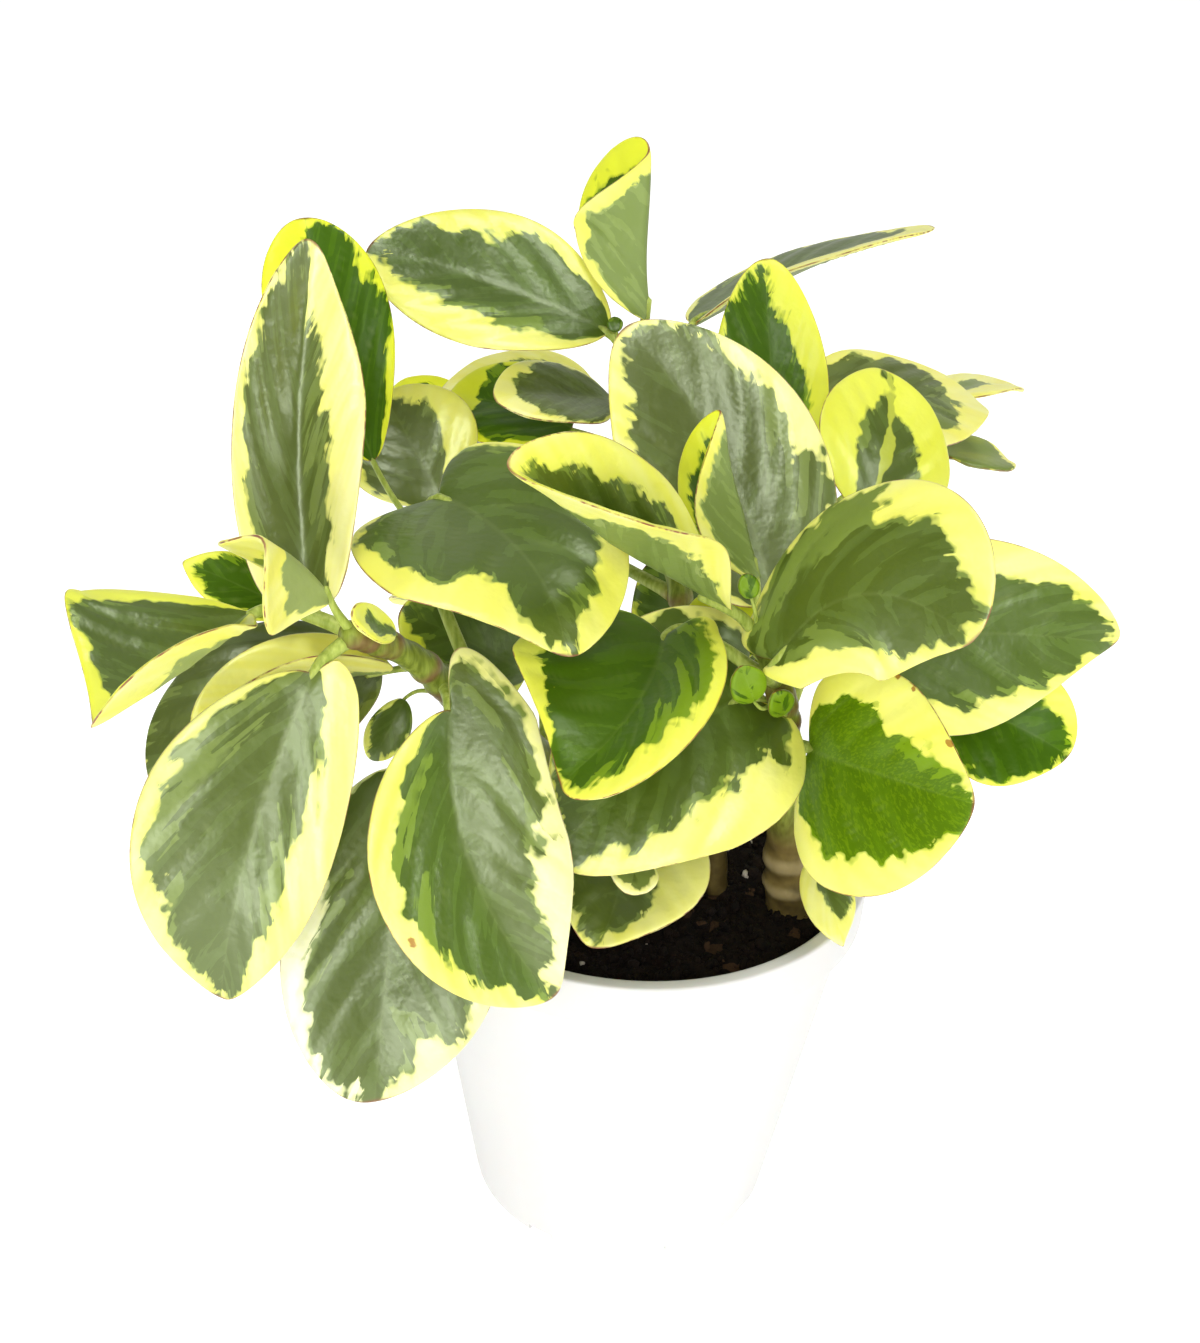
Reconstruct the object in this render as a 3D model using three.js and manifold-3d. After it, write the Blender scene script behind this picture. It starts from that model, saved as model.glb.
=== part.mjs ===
// Potted variegated peperomia: a tapered pot, its soil, five fleshy stems and the leaves they carry.
// Millimetres, +Z up. The origin is the middle of the pot's underside; +X is to the right and -Y is
// the side that the leafy front of the plant faces.
import * as THREE from 'three';
import { mergeVertices } from 'three/addons/utils/BufferGeometryUtils.js';
import Module from 'manifold-3d';

const wasm = await Module();
wasm.setup();

// ---------------------------------------------------------------- driving dimensions
const POT = {
  height: 106,
  rimRadius: 60, // outside of the rim, at the top
  baseRadius: 40.5, // outside of the wall, at the foot
  wall: 2.2,
  floor: 5.5,
  rimDrop: 13, // height of the thicker rim band
  rimStep: 1.6, // how far the band stands out from the wall below it
  rimEase: 0.8, // the rim's edges are taken off by this much
  sides: 40,
};
// The drainage: channels across the foot's edge, each ending in a hole through the floor.
const DRAIN = { count: 8, width: 7, height: 2.5, length: 14, holeRadius: 3, holeSides: 12, firstAngle: 14 };
// The soil's surface rises to its middle by crown, over rings at these shares of its radius.
const SOIL = { top: 98, crown: 2.5, clearance: 0.35, edge: 1, rings: [0.9, 0.5, 0] };
const LEAF = { thickness: 1.4, cellsAlong: 6, cellsAcross: 4 };
const PETIOLE = {
  sides: 5,
  steps: 4,
  widthShare: 0.042, // radius at the stem, as a share of the blade's width
  thinnest: 0.7,
  thickest: 1.9,
  taper: 0.45, // radius under the blade, as a share of the radius at the stem
  underBlade: 0.14, // how far it runs on under the midrib, as a share of the blade's length
  sink: 0.4, // how far below the middle of the blade it ends
  drop: 0.35, // how far it starts below the nearest point of the stem, as a share of the distance
  straight: 0.3, // how much of it comes straight in to the blade
  lowest: 0.12, // the stretch of the stem that can carry leaves, from 0 at the foot to 1 at the tip
  highest: 0.985,
};
// Between foot and tip the nodes of a stem swell it by nodeSwell of its radius, from barkEnd upwards.
const STEM = { sides: 8, steps: 12, clearance: 0.35, nodeSwell: 0.14, barkEnd: 0.4 };

// Each stem runs up from the soil through these points. The radii are at the foot, the middle and
// the growing tip.
const STEMS = {
  stem_centre: {
    points: [[41, -10, 86], [40, -12, 98], [37, -16, 120], [34, -22, 142], [31, -26, 166], [22, -31, 190]],
    radii: [7.4, 4.4, 2.2],
  },
  stem_left: {
    points: [[4, 2, 86], [1, 0, 100], [-25, -20, 143], [-45, -46, 177], [-54, -59, 193], [-64, -75, 206]],
    radii: [4.8, 4.5, 2.6],
  },
  stem_top: {
    points: [[22, -6, 86], [21, -8, 98], [13, 0, 150], [-1, 12, 204], [-10, 19, 232]],
    radii: [3.2, 2.7, 2.1],
  },
  stem_rear_right: {
    points: [[16, 12, 86], [18, 14, 98], [29, 31, 148], [38, 45, 185], [38, 50, 206]],
    radii: [4.2, 3.6, 2.4],
  },
  stem_rear_left: {
    points: [[0, 20, 86], [-2, 21, 98], [-18, 24, 145], [-36, 32, 178], [-42, 34, 190]],
    radii: [3.8, 3.4, 2.4],
  },
};

// Each leaf, by the stem that carries it. base and tip are the ends of the blade's midrib and face is
// the way its upper side looks. The rest shape the blade: bend is how far the midrib droops, sweep
// how far it bows to the left in the blade's plane, fold how far each half is raised, twist how much
// the tip is turned against the base. egg widens the tip end, heart draws lobes back past the
// petiole, ear lengthens the left lobe and shortens the right one, point narrows the tip, wedge
// narrows the base, lean widens the left half and skew draws the left half forward. at is where on
// its stem the leaf starts, from 0 at the foot to 1 at the tip, for a leaf that doesn't start near
// its blade. Lengths are in millimetres and angles in degrees.
const PLAIN_LEAF = {
  face: [0, -0.8, 0.6],
  bend: 20,
  sweep: 0,
  fold: 8,
  twist: 0,
  egg: 0,
  heart: 0,
  ear: 0,
  point: 0.15,
  wedge: 0.2,
  lean: 0,
  skew: 0,
};
const LEAVES = {
  stem_centre: {
    leaf_centre_01: {
      base: [27, -22, 190], tip: [-10, 10, 243], face: [0.09, -0.85, 0.52], width: 48, bend: -26,
      sweep: -6, fold: 7, egg: -0.15, heart: 0.1, point: 0.19, wedge: 0.31, lean: 0.04, skew: 0.03,
    },
    leaf_centre_02: {
      base: [17, -34, 194], tip: [-32, -70, 242], face: [0.3, -0.31, 0.9], width: 42, bend: -7, sweep: -1,
      fold: 57, twist: -32, egg: 0.15, wedge: 0.7, lean: 0.14, skew: -0.13, at: 0.93,
    },
    leaf_centre_03: {
      base: [22, -25, 197], tip: [12, -21, 236], face: [-0.97, -0.2, 0.12], width: 27, bend: 15,
      sweep: -1, fold: 67, twist: 3, egg: -0.05, point: 0.26, wedge: 0.5, lean: 0.06, skew: 0.08,
    },
    leaf_centre_04: { base: [21, -34, 197], tip: [19, -34, 203], face: [0, -0.9, 0.5], width: 5 },
    leaf_centre_05: {
      base: [27, -42, 186], tip: [65, -66, 206], face: [0.05, -0.82, 0.57], width: 42, bend: 16,
      sweep: 12, fold: -8, twist: 14, egg: 0.36, heart: 0.46, point: 0.45, wedge: 0.48, lean: 0.16,
      skew: 0.04, at: 0.82,
    },
    leaf_centre_06: {
      base: [44, -12, 174], tip: [112, -6, 175], face: [0, -0.93, 0.37], width: 47, bend: 12, sweep: 3,
      fold: -2, twist: 3, egg: -0.25, heart: 0.01, point: 0.52, wedge: 0.17, lean: -0.03, skew: 0.09,
    },
    leaf_centre_07: {
      base: [76, 11, 148], tip: [107, 0, 139], face: [0.09, -0.82, 0.57], width: 34, sweep: 1, fold: 7,
      egg: -0.08, point: 0.22, wedge: 0.19, lean: -0.04, skew: 0.05,
    },
    leaf_centre_08: {
      base: [38, -28, 155], tip: [71, -64, 165], face: [0.08, -0.93, 0.35], width: 53, bend: 21, fold: 12,
      twist: -1, egg: -0.11, heart: 0.11, point: 0.28, wedge: 0.17, lean: -0.08, skew: -0.04,
    },
    leaf_centre_09: {
      base: [2, -37, 188], tip: [-19, -82, 176], face: [-0.31, -0.78, 0.55], width: 47, bend: 18,
      sweep: 5, fold: 13, twist: -1, egg: -0.02, heart: 0.45, ear: 0.03, point: 0.33, wedge: 0.38,
      lean: -0.28, skew: 0.17, at: 0.8,
    },
    leaf_centre_10: {
      base: [22, -28, 168], tip: [-20, -67, 147], face: [0.03, -0.83, 0.56], width: 55, bend: 30,
      sweep: -4, fold: 12, twist: 5, egg: -0.43, heart: 0.44, ear: 0.06, point: 0.05, wedge: 0.5,
      lean: 0.04, skew: 0.1, at: 0.62,
    },
    leaf_centre_11: {
      base: [43, -21, 119], tip: [50, -42, 108], face: [0.01, -0.8, 0.6], width: 13, bend: 21, fold: 9,
      egg: -0.05, point: 0.8, skew: -0.04,
    },
    leaf_centre_12: { base: [23, -40, 174], tip: [19, -44, 185], width: 9, at: 0.78 },
    leaf_centre_13: { base: [31, -33, 167], tip: [28, -37, 175], width: 7 },
    leaf_centre_14: {
      base: [24, -18, 174], tip: [9, -6, 181], face: [0, -0.75, 0.65], width: 18, egg: -0.1, point: 0.3,
    },
  },
  stem_left: {
    leaf_left_01: {
      base: [-73, -61, 205], tip: [-75, -29, 272], face: [0.09, -0.86, 0.5], width: 32, bend: -24,
      sweep: 3, fold: 32, twist: 29, egg: -0.12, heart: 0.17, point: 0.23, wedge: 0.13, skew: 0.08,
    },
    leaf_left_02: {
      base: [-50, -27, 215], tip: [-19, -69, 199], face: [0.13, -0.43, 0.9], width: 56, bend: 34,
      sweep: 5, fold: 7, twist: -14, egg: -0.23, heart: 0.41, ear: -0.1, point: 0.45, wedge: 0.22,
      lean: -0.15, skew: 0.05, at: 0.6,
    },
    leaf_left_03: {
      base: [-84, -71, 207], tip: [-106, -114, 205], face: [-0.2, -0.06, 0.98], width: 46, bend: -1,
      sweep: 1, fold: 37, twist: 22, egg: 0.4, point: 0.46, wedge: 0.48, lean: -0.13, skew: 0.3,
    },
    leaf_left_04: {
      base: [-82, -34, 188], tip: [-105, -38, 201], face: [0.2, -0.6, 0.6], width: 14, point: 0.5,
    },
    leaf_left_05: {
      base: [-67, -76, 213], tip: [-77, -94, 235], face: [-0.5, 0.04, -0.86], width: 28, bend: -10,
      sweep: 2, fold: 46, twist: 8, egg: 0.48, point: 0.21, wedge: 0.35, lean: -0.12, skew: 0.05,
    },
    leaf_left_06: {
      base: [-63, -44, 185], tip: [-103, -80, 166], face: [-0.3, -0.6, 0.6], width: 41, bend: 40, at: 0.7,
    },
    leaf_left_07: {
      base: [-70, -79, 198], tip: [-87, -106, 135], face: [0.12, -0.91, 0.4], width: 41, bend: 30,
      sweep: -3, fold: 7, twist: 6, egg: -0.06, heart: 0.15, ear: 0.9, point: 0.4, wedge: 0.42,
      lean: -0.16, skew: 0.02,
    },
    leaf_left_08: {
      base: [-57, -54, 186], tip: [-96, -78, 183], face: [-0.5, -0.3, 0.6], width: 24, bend: 30, fold: 60,
    },
    leaf_left_09: {
      base: [-44, -59, 179], tip: [-18, -84, 122], face: [0.21, -0.85, 0.49], width: 44, bend: 25,
      sweep: -8, fold: 9, twist: 6, egg: -0.09, heart: 0.34, ear: 1, point: 0.46, wedge: 0.43,
      skew: -0.02,
    },
    leaf_left_10: {
      base: [-55, -46, 155], tip: [-58, -87, 92], face: [0.04, -0.87, 0.48], width: 50, bend: 30, fold: 6,
      egg: 0.04, heart: 0.04, point: 0.2, wedge: 0.19, lean: 0.04, skew: -0.05,
    },
    leaf_left_11: { base: [-56, -40, 170], tip: [-63, -46, 157], face: [0.3, -0.8, 0.5], width: 10 },
    leaf_left_12: {
      base: [-55, -64, 200], tip: [-62, -80, 213], face: [0.3, -0.7, 0.7], width: 9, bend: -20, fold: 30,
    },
    leaf_left_13: {
      base: [-30, -6, 159], tip: [-59, -20, 182], face: [0.1, -0.75, 0.6], width: 34, bend: 20, egg: -0.1,
      point: 0.3,
    },
  },
  stem_top: {
    leaf_top_01: {
      base: [-14, 20, 238], tip: [-71, 27, 254], face: [0, -0.62, 0.78], width: 38, bend: -20, sweep: -3,
      twist: -2, egg: -0.02, point: 0.17, wedge: 0.32, lean: 0.01, skew: 0.11,
    },
    leaf_top_02: {
      base: [-6, 18, 242], tip: [-6, 30, 279], face: [-0.94, 0.1, 0.32], width: 42, bend: 11, sweep: -2,
      fold: 54, twist: -4, egg: 0.26, point: 0.45, wedge: 0.44, lean: -0.03, skew: 0.33,
    },
    leaf_top_03: { base: [-12, 17, 239], tip: [-13, 19, 242], width: 4, point: 0.5 },
    leaf_top_04: {
      base: [-16, 54, 208], tip: [-57, 66, 204], face: [0, -0.3, 0.95], width: 27, bend: 20, at: 0.74,
    },
    leaf_top_05: { base: [-12, 28, 217], tip: [-40, 12, 223], face: [0, -0.4, 0.9], width: 23, bend: 20 },
    leaf_top_06: { base: [-22, 34, 207], tip: [-54, 46, 210], face: [0, -0.5, 0.85], width: 27 },
    leaf_top_07: {
      base: [-6, -13, 121], tip: [-10, -53, 112], face: [0.14, -0.7, 0.7], width: 40, bend: 25, sweep: 3,
      fold: 23, twist: -3, egg: -0.18, point: 0.16, lean: 0.09, skew: -0.16,
    },
    leaf_top_08: { base: [-1, -44, 133], tip: [-3, -54, 129], face: [0.1, -0.8, 0.6], width: 12 },
    leaf_top_09: {
      base: [-17, 35, 176], tip: [-15, 86, 152], face: [-0.1, 0.5, 0.85], width: 44, bend: 30,
    },
  },
  stem_rear_right: {
    leaf_rear_right_01: {
      base: [8, 79, 221], tip: [75, 118, 237], face: [-0.11, 0.31, 0.94], width: 36, bend: 13, sweep: 2,
      fold: 10, twist: 8, egg: -0.07, heart: 0.03, wedge: 0.14, lean: 0.01, skew: 0.02,
    },
    leaf_rear_right_02: {
      base: [34, 44, 194], tip: [25, 66, 243], face: [0.09, -0.91, 0.4], width: 29, sweep: 2, egg: -0.18,
      heart: 0.01, point: 0.08, wedge: 0.19, lean: 0.03, skew: -0.03,
    },
    leaf_rear_right_03: {
      base: [42, 66, 207], tip: [90, 82, 199], face: [0.09, -0.29, 0.95], width: 39, bend: 13, sweep: -1,
      fold: 0, twist: -10, egg: -0.17, heart: 0.1, point: 0.18, wedge: 0.09, lean: -0.02, skew: 0.07,
    },
    leaf_rear_right_04: { base: [77, 98, 194], tip: [105, 120, 191], face: [0.1, 0.2, 1], width: 22 },
    leaf_rear_right_05: {
      base: [51, 18, 194], tip: [57, 48, 221], face: [0.36, -0.84, 0.4], width: 40, bend: 17, sweep: -2,
      fold: 4, twist: 1, egg: -0.13, point: 0.19, wedge: 0.29, lean: 0.04, skew: 0.07,
    },
    leaf_rear_right_06: { base: [80, 78, 186], tip: [100, 88, 181], face: [0, -0.2, 1], width: 18 },
    leaf_rear_right_07: {
      base: [22, 64, 190], tip: [28, 122, 172], face: [0, 0.4, 0.9], width: 44, bend: 30,
    },
    leaf_rear_right_08: {
      base: [58, 62, 174], tip: [92, 100, 150], face: [0.4, 0.3, 0.85], width: 42, bend: 30, at: 0.7,
    },
    leaf_rear_right_09: {
      base: [40, 50, 150], tip: [62, 92, 118], face: [0.3, 0.5, 0.8], width: 40, bend: 30, heart: 0.2,
    },
    leaf_rear_right_10: {
      base: [25, 24, 146], tip: [-1, 18, 179], face: [-0.1, -0.85, 0.5], width: 38, bend: 15, egg: -0.1,
      point: 0.3,
    },
  },
  stem_rear_left: {
    leaf_rear_left_01: {
      base: [-66, -12, 216], tip: [-84, 13, 264], face: [0.25, -0.87, 0.42], width: 28, bend: 24,
      sweep: 1, fold: 16, twist: 3, egg: 0.24, point: 0.21, wedge: 0.29, lean: 0.03, skew: 0.01,
    },
    leaf_rear_left_02: { base: [-50, 66, 200], tip: [-72, 78, 198], face: [0, -0.6, 0.8], width: 10 },
    leaf_rear_left_03: { base: [-53, 18, 193], tip: [-69, 34, 214], width: 34 },
    leaf_rear_left_04: {
      base: [-40, 54, 184], tip: [-58, 106, 170], face: [-0.2, 0.4, 0.9], width: 42, bend: 30, at: 0.8,
    },
    leaf_rear_left_05: {
      base: [-36, 44, 156], tip: [-64, 86, 128], face: [-0.4, 0.5, 0.8], width: 40, bend: 30, heart: 0.2,
    },
  },
};

const COLOURS = {
  pot: { color: '#f4f3ef', roughness: 0.45, metalness: 0 },
  soil: { color: '#3a2a20', roughness: 1, metalness: 0 },
  stem: { color: '#9fae6a', roughness: 0.5, metalness: 0 },
  leaf: { color: '#7f9a4a', roughness: 0.35, metalness: 0 },
};

// ---------------------------------------------------------------- helpers
const vec = (p) => new THREE.Vector3(...p);
const smooth = (x) => x * x * (3 - 2 * x);

// A closed geometry as a manifold solid, with its shared corners merged.
function solidOf(geometry) {
  const bare = geometry.clone();
  bare.deleteAttribute('normal');
  bare.deleteAttribute('uv');
  const merged = mergeVertices(bare, 1e-4);
  return new wasm.Manifold(new wasm.Mesh({
    numProp: 3,
    vertProperties: new Float32Array(merged.attributes.position.array),
    triVerts: new Uint32Array(merged.index.array),
  }));
}

// A manifold solid as a geometry.
function geometryOf(solid) {
  const { vertProperties, triVerts } = solid.getMesh();
  const geometry = new THREE.BufferGeometry();
  geometry.setAttribute('position', new THREE.BufferAttribute(vertProperties, 3));
  geometry.setIndex(new THREE.BufferAttribute(triVerts, 1));
  geometry.computeVertexNormals();
  return geometry;
}

function named(name, geometry, look) {
  const mesh = new THREE.Mesh(geometry, new THREE.MeshStandardMaterial(look));
  mesh.name = name;
  return mesh;
}

// A round bar bent along a curve. radiusAt gives its radius from 0 at the start to 1 at the end.
function bentBar(curve, radiusAt, sides, steps) {
  const bar = new THREE.CylinderGeometry(1, 1, 1, sides, steps);
  const frames = curve.computeFrenetFrames(steps);
  const position = bar.attributes.position;
  for (let i = 0; i < position.count; i += 1) {
    const along = position.getY(i) + 0.5;
    const step = Math.round(along * steps);
    const radius = radiusAt(along);
    const point = curve.getPointAt(along);
    point.addScaledVector(frames.binormals[step], position.getX(i) * radius);
    point.addScaledVector(frames.normals[step], position.getZ(i) * radius);
    position.setXYZ(i, point.x, point.y, point.z);
  }
  return bar;
}

// ---------------------------------------------------------------- pot and soil
const wallRadiusAt = (z) => {
  return THREE.MathUtils.mapLinear(z, 0, POT.height, POT.baseRadius, POT.rimRadius - POT.rimStep);
};
const innerRadiusAt = (z) => wallRadiusAt(z) - POT.wall;

function turned(profile) {
  const lathe = new THREE.LatheGeometry(profile.map(([r, z]) => new THREE.Vector2(r, z)), POT.sides);
  return lathe.rotateX(Math.PI / 2);
}

function potGeometry() {
  const band = POT.height - POT.rimDrop;
  const shell = solidOf(turned([
    [0, 0],
    [POT.baseRadius, 0],
    [wallRadiusAt(band), band],
    [POT.rimRadius - POT.rimEase / 2, band + POT.rimEase],
    [POT.rimRadius, POT.height - POT.rimEase],
    [POT.rimRadius - POT.rimEase, POT.height],
    [innerRadiusAt(POT.height) + POT.rimEase, POT.height],
    [innerRadiusAt(POT.height - POT.rimEase), POT.height - POT.rimEase],
    [innerRadiusAt(POT.floor), POT.floor],
    [0, POT.floor],
  ]));
  return geometryOf(drains().reduce((pot, drain) => pot.subtract(drain), shell));
}

// The channels under the foot and the holes at their inner ends, as solids to cut away.
function drains() {
  const hub = POT.baseRadius - DRAIN.length;
  const channel = new THREE.BoxGeometry(DRAIN.length * 2, DRAIN.width, DRAIN.height * 2);
  channel.translate(POT.baseRadius, 0, 0);
  const deep = POT.floor * 4;
  const hole = new THREE.CylinderGeometry(DRAIN.holeRadius, DRAIN.holeRadius, deep, DRAIN.holeSides);
  hole.rotateX(Math.PI / 2).translate(hub, 0, 0);
  const first = solidOf(channel).add(solidOf(hole));
  return Array.from({ length: DRAIN.count }, (_, k) => {
    return first.rotate([0, 0, DRAIN.firstAngle + k * 360 / DRAIN.count]);
  });
}

function soilGeometry() {
  const edge = (z) => innerRadiusAt(z) - SOIL.clearance;
  const base = POT.floor + SOIL.clearance;
  const body = solidOf(turned([
    [0, base],
    [edge(base), base],
    [edge(SOIL.top - SOIL.edge), SOIL.top - SOIL.edge],
    ...SOIL.rings.map((share) => [edge(SOIL.top) * share, SOIL.top + SOIL.crown * (1 - share ** 2)]),
  ]));
  return geometryOf(Object.values(STEMS).reduce((soil, stem) => soil.subtract(stem.room), body));
}

// ---------------------------------------------------------------- stems
// The curve that a stem follows, with both of its ends carried on by extra.
function stemCurve(stem, extra) {
  const points = stem.points.map(vec);
  const [foot, second] = points;
  const [before, tip] = points.slice(-2);
  foot.addScaledVector(foot.clone().sub(second).normalize(), extra);
  tip.addScaledVector(tip.clone().sub(before).normalize(), extra);
  return new THREE.CatmullRomCurve3(points);
}

// A stem thins from foot to tip and swells a little at each node. extra is added all round it.
function stemSolid(stem, extra) {
  const [foot, middle, tip] = stem.radii;
  const radiusAt = (t) => {
    const taper = t < 0.5
      ? THREE.MathUtils.lerp(foot, middle, smooth(t * 2))
      : THREE.MathUtils.lerp(middle, tip, smooth(t * 2 - 1));
    const ring = Math.cos(t * Math.PI * STEM.steps) ** 2;
    return t > STEM.barkEnd ? taper * (1 + STEM.nodeSwell * ring) + extra : taper + extra;
  };
  return solidOf(bentBar(stemCurve(stem, extra), radiusAt, STEM.sides, STEM.steps));
}

// Each stem's room is the space that the soil and the leaves leave for it.
for (const stem of Object.values(STEMS)) {
  stem.curve = stemCurve(stem, 0);
  stem.solid = stemSolid(stem, 0);
  stem.room = stemSolid(stem, STEM.clearance);
}

// ---------------------------------------------------------------- leaves
// The frame of a blade: along the chord, to the left across it, and up out of its upper side.
function bladeFrame(leaf) {
  const base = vec(leaf.base);
  const along = vec(leaf.tip).sub(base);
  const length = along.length();
  along.normalize();
  const up = vec(leaf.face);
  up.addScaledVector(along, -up.dot(along)).normalize();
  const left = new THREE.Vector3().crossVectors(up, along);
  return { base, length, along, left, up };
}

// A point of the blade. a runs from -1 at the petiole to 1 at the tip, b from -1 at the right margin
// to 1 at the left, and lift is the height above the middle of its thickness.
function bladePoint(leaf, a, b, lift) {
  const { base, length, along, left, up } = bladeFrame(leaf);
  const x = a * Math.sqrt(1 - b * b / 2);
  const y = b * Math.sqrt(1 - a * a / 2);
  const back = Math.max(0, -x);
  const front = Math.max(0, x);
  const side = Math.sign(y);
  const half = (leaf.width / 2) * (1 + leaf.lean * side);
  const across = Math.abs(y) * half
    * (1 + leaf.egg * x) * (1 - leaf.wedge * back ** 2) * (1 - leaf.point * front ** 3);
  const lobe = leaf.heart * (1 + leaf.ear * side) * Math.abs(y) * back;
  const u = (x + 1) / 2 - lobe + leaf.skew * y * front;

  const fold = THREE.MathUtils.degToRad(leaf.fold);
  const bend = THREE.MathUtils.degToRad(leaf.bend);
  const arc = length / (2 * Math.sin(bend / 2));
  const pitch = bend / 2 - bend * u;
  const inside = THREE.MathUtils.clamp(u, 0, 1);
  const turn = THREE.MathUtils.degToRad(leaf.twist) * (u - 0.5);
  const yaw = Math.atan2(leaf.sweep * 4 * (1 - 2 * inside), length);

  const tangent = along.clone().multiplyScalar(Math.cos(pitch)).addScaledVector(up, Math.sin(pitch));
  const normal = along.clone().multiplyScalar(-Math.sin(pitch)).addScaledVector(up, Math.cos(pitch));
  const leftward = left.clone().multiplyScalar(Math.cos(turn)).addScaledVector(normal, Math.sin(turn));
  const upward = left.clone().multiplyScalar(-Math.sin(turn)).addScaledVector(normal, Math.cos(turn));
  const outward = leftward.multiplyScalar(Math.cos(yaw)).addScaledVector(tangent, -Math.sin(yaw));

  return base
    .addScaledVector(along, arc * (Math.sin(bend / 2) - Math.sin(pitch)))
    .addScaledVector(up, arc * (Math.cos(pitch) - Math.cos(bend / 2)))
    .addScaledVector(left, leaf.sweep * 4 * inside * (1 - inside))
    .addScaledVector(outward, side * (across * Math.cos(fold) - lift * Math.sin(fold)))
    .addScaledVector(upward, across * Math.sin(fold) + lift * Math.cos(fold));
}

function bladeGeometry(leaf) {
  const box = new THREE.BoxGeometry(2, 2, LEAF.thickness, LEAF.cellsAlong, LEAF.cellsAcross, 1);
  const position = box.attributes.position;
  for (let i = 0; i < position.count; i += 1) {
    const point = bladePoint(leaf, position.getX(i), position.getY(i), position.getZ(i));
    position.setXYZ(i, point.x, point.y, point.z);
  }
  return box;
}

// Where a leaf leaves its stem: a little below the point of the stem that is nearest to the blade.
function axil(leaf, curve) {
  const base = vec(leaf.base);
  const samples = curve.getSpacedPoints(curve.getLength());
  const distances = samples.map((point) => point.distanceTo(base));
  const nearest = distances.indexOf(Math.min(...distances));
  const along = (nearest - PETIOLE.drop * distances[nearest]) / curve.getLength();
  return curve.getPointAt(leaf.at ?? THREE.MathUtils.clamp(along, PETIOLE.lowest, PETIOLE.highest));
}

// The petiole runs from inside the stem to the blade and ends under its midrib.
function petioleGeometry(leaf, curve) {
  const thick = THREE.MathUtils.clamp(leaf.width * PETIOLE.widthShare, PETIOLE.thinnest, PETIOLE.thickest);
  const under = bladePoint(leaf, -1 + 2 * PETIOLE.underBlade, 0, -PETIOLE.sink);
  const root = bladePoint(leaf, -1, 0, 0);
  const start = axil(leaf, curve);
  const inward = under.clone().sub(root).normalize();
  const before = root.clone().addScaledVector(inward, -PETIOLE.straight * root.distanceTo(start));
  const path = new THREE.CubicBezierCurve3(start, start.clone().lerp(before, 0.5), before, root);
  const points = [...path.getSpacedPoints(PETIOLE.steps), under];
  const radiusAt = (t) => THREE.MathUtils.lerp(thick, thick * PETIOLE.taper, t);
  return bentBar(new THREE.CatmullRomCurve3(points), radiusAt, PETIOLE.sides, PETIOLE.steps);
}

// A leaf is its blade and petiole in one piece, cut clear of the stem that carries it.
function leafGeometry(shape, stem) {
  const leaf = { ...PLAIN_LEAF, ...shape };
  return solidOf(bladeGeometry(leaf)).add(solidOf(petioleGeometry(leaf, stem.curve))).subtract(stem.room);
}

// ---------------------------------------------------------------- the plant in its pot
const plant = new THREE.Group();
plant.add(named('pot', potGeometry(), COLOURS.pot));
plant.add(named('soil', soilGeometry(), COLOURS.soil));
for (const [name, stem] of Object.entries(STEMS)) {
  plant.add(named(name, geometryOf(stem.solid), COLOURS.stem));
}
for (const [stemName, leaves] of Object.entries(LEAVES)) {
  for (const [name, shape] of Object.entries(leaves)) {
    plant.add(named(name, geometryOf(leafGeometry(shape, STEMS[stemName])), COLOURS.leaf));
  }
}

export default plant;
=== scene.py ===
"""A variegated peperomia in a tapered white pot: thick waxy leaves on fleshy stems, in dark potting mix.

Lengths in the tables below are millimetres, as in the part's own drawing, and MM turns them to metres.
"""
import math
import random

import bmesh
import bpy
import numpy as np
from mathutils import Euler, Matrix, Vector, noise


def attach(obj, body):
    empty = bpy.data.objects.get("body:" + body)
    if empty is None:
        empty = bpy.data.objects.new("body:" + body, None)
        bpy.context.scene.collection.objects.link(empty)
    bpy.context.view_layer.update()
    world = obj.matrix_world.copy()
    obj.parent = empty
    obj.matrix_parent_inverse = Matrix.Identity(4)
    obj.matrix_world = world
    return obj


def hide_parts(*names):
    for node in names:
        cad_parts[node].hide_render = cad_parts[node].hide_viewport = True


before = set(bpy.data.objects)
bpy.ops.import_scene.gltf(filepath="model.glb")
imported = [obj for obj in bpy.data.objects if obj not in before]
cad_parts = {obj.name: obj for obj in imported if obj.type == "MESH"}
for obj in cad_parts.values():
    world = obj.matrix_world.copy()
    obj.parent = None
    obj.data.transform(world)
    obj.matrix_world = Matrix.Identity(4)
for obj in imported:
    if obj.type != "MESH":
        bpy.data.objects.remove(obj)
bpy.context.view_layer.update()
MM = 0.001

# ---------------------------------------------------------------- camera
CAMERA_PLACE = (-12, -430.4, 401.5)
CAMERA_PITCH = 29.6  # degrees below the horizon
CAMERA_ROLL = 2.8
LENS = 53.6
SENSOR = 36

camera_data = bpy.data.cameras.new("camera")
camera_data.lens = LENS
camera_data.sensor_width = SENSOR
camera = bpy.data.objects.new("camera", camera_data)
camera.location = Vector(CAMERA_PLACE) * MM
pitch = Matrix.Rotation(math.radians(90 - CAMERA_PITCH), 3, "X")
roll = Matrix.Rotation(math.radians(CAMERA_ROLL), 3, "Z")
camera.rotation_euler = (pitch @ roll).to_euler()
bpy.context.scene.collection.objects.link(camera)
bpy.context.scene.camera = camera

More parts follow.
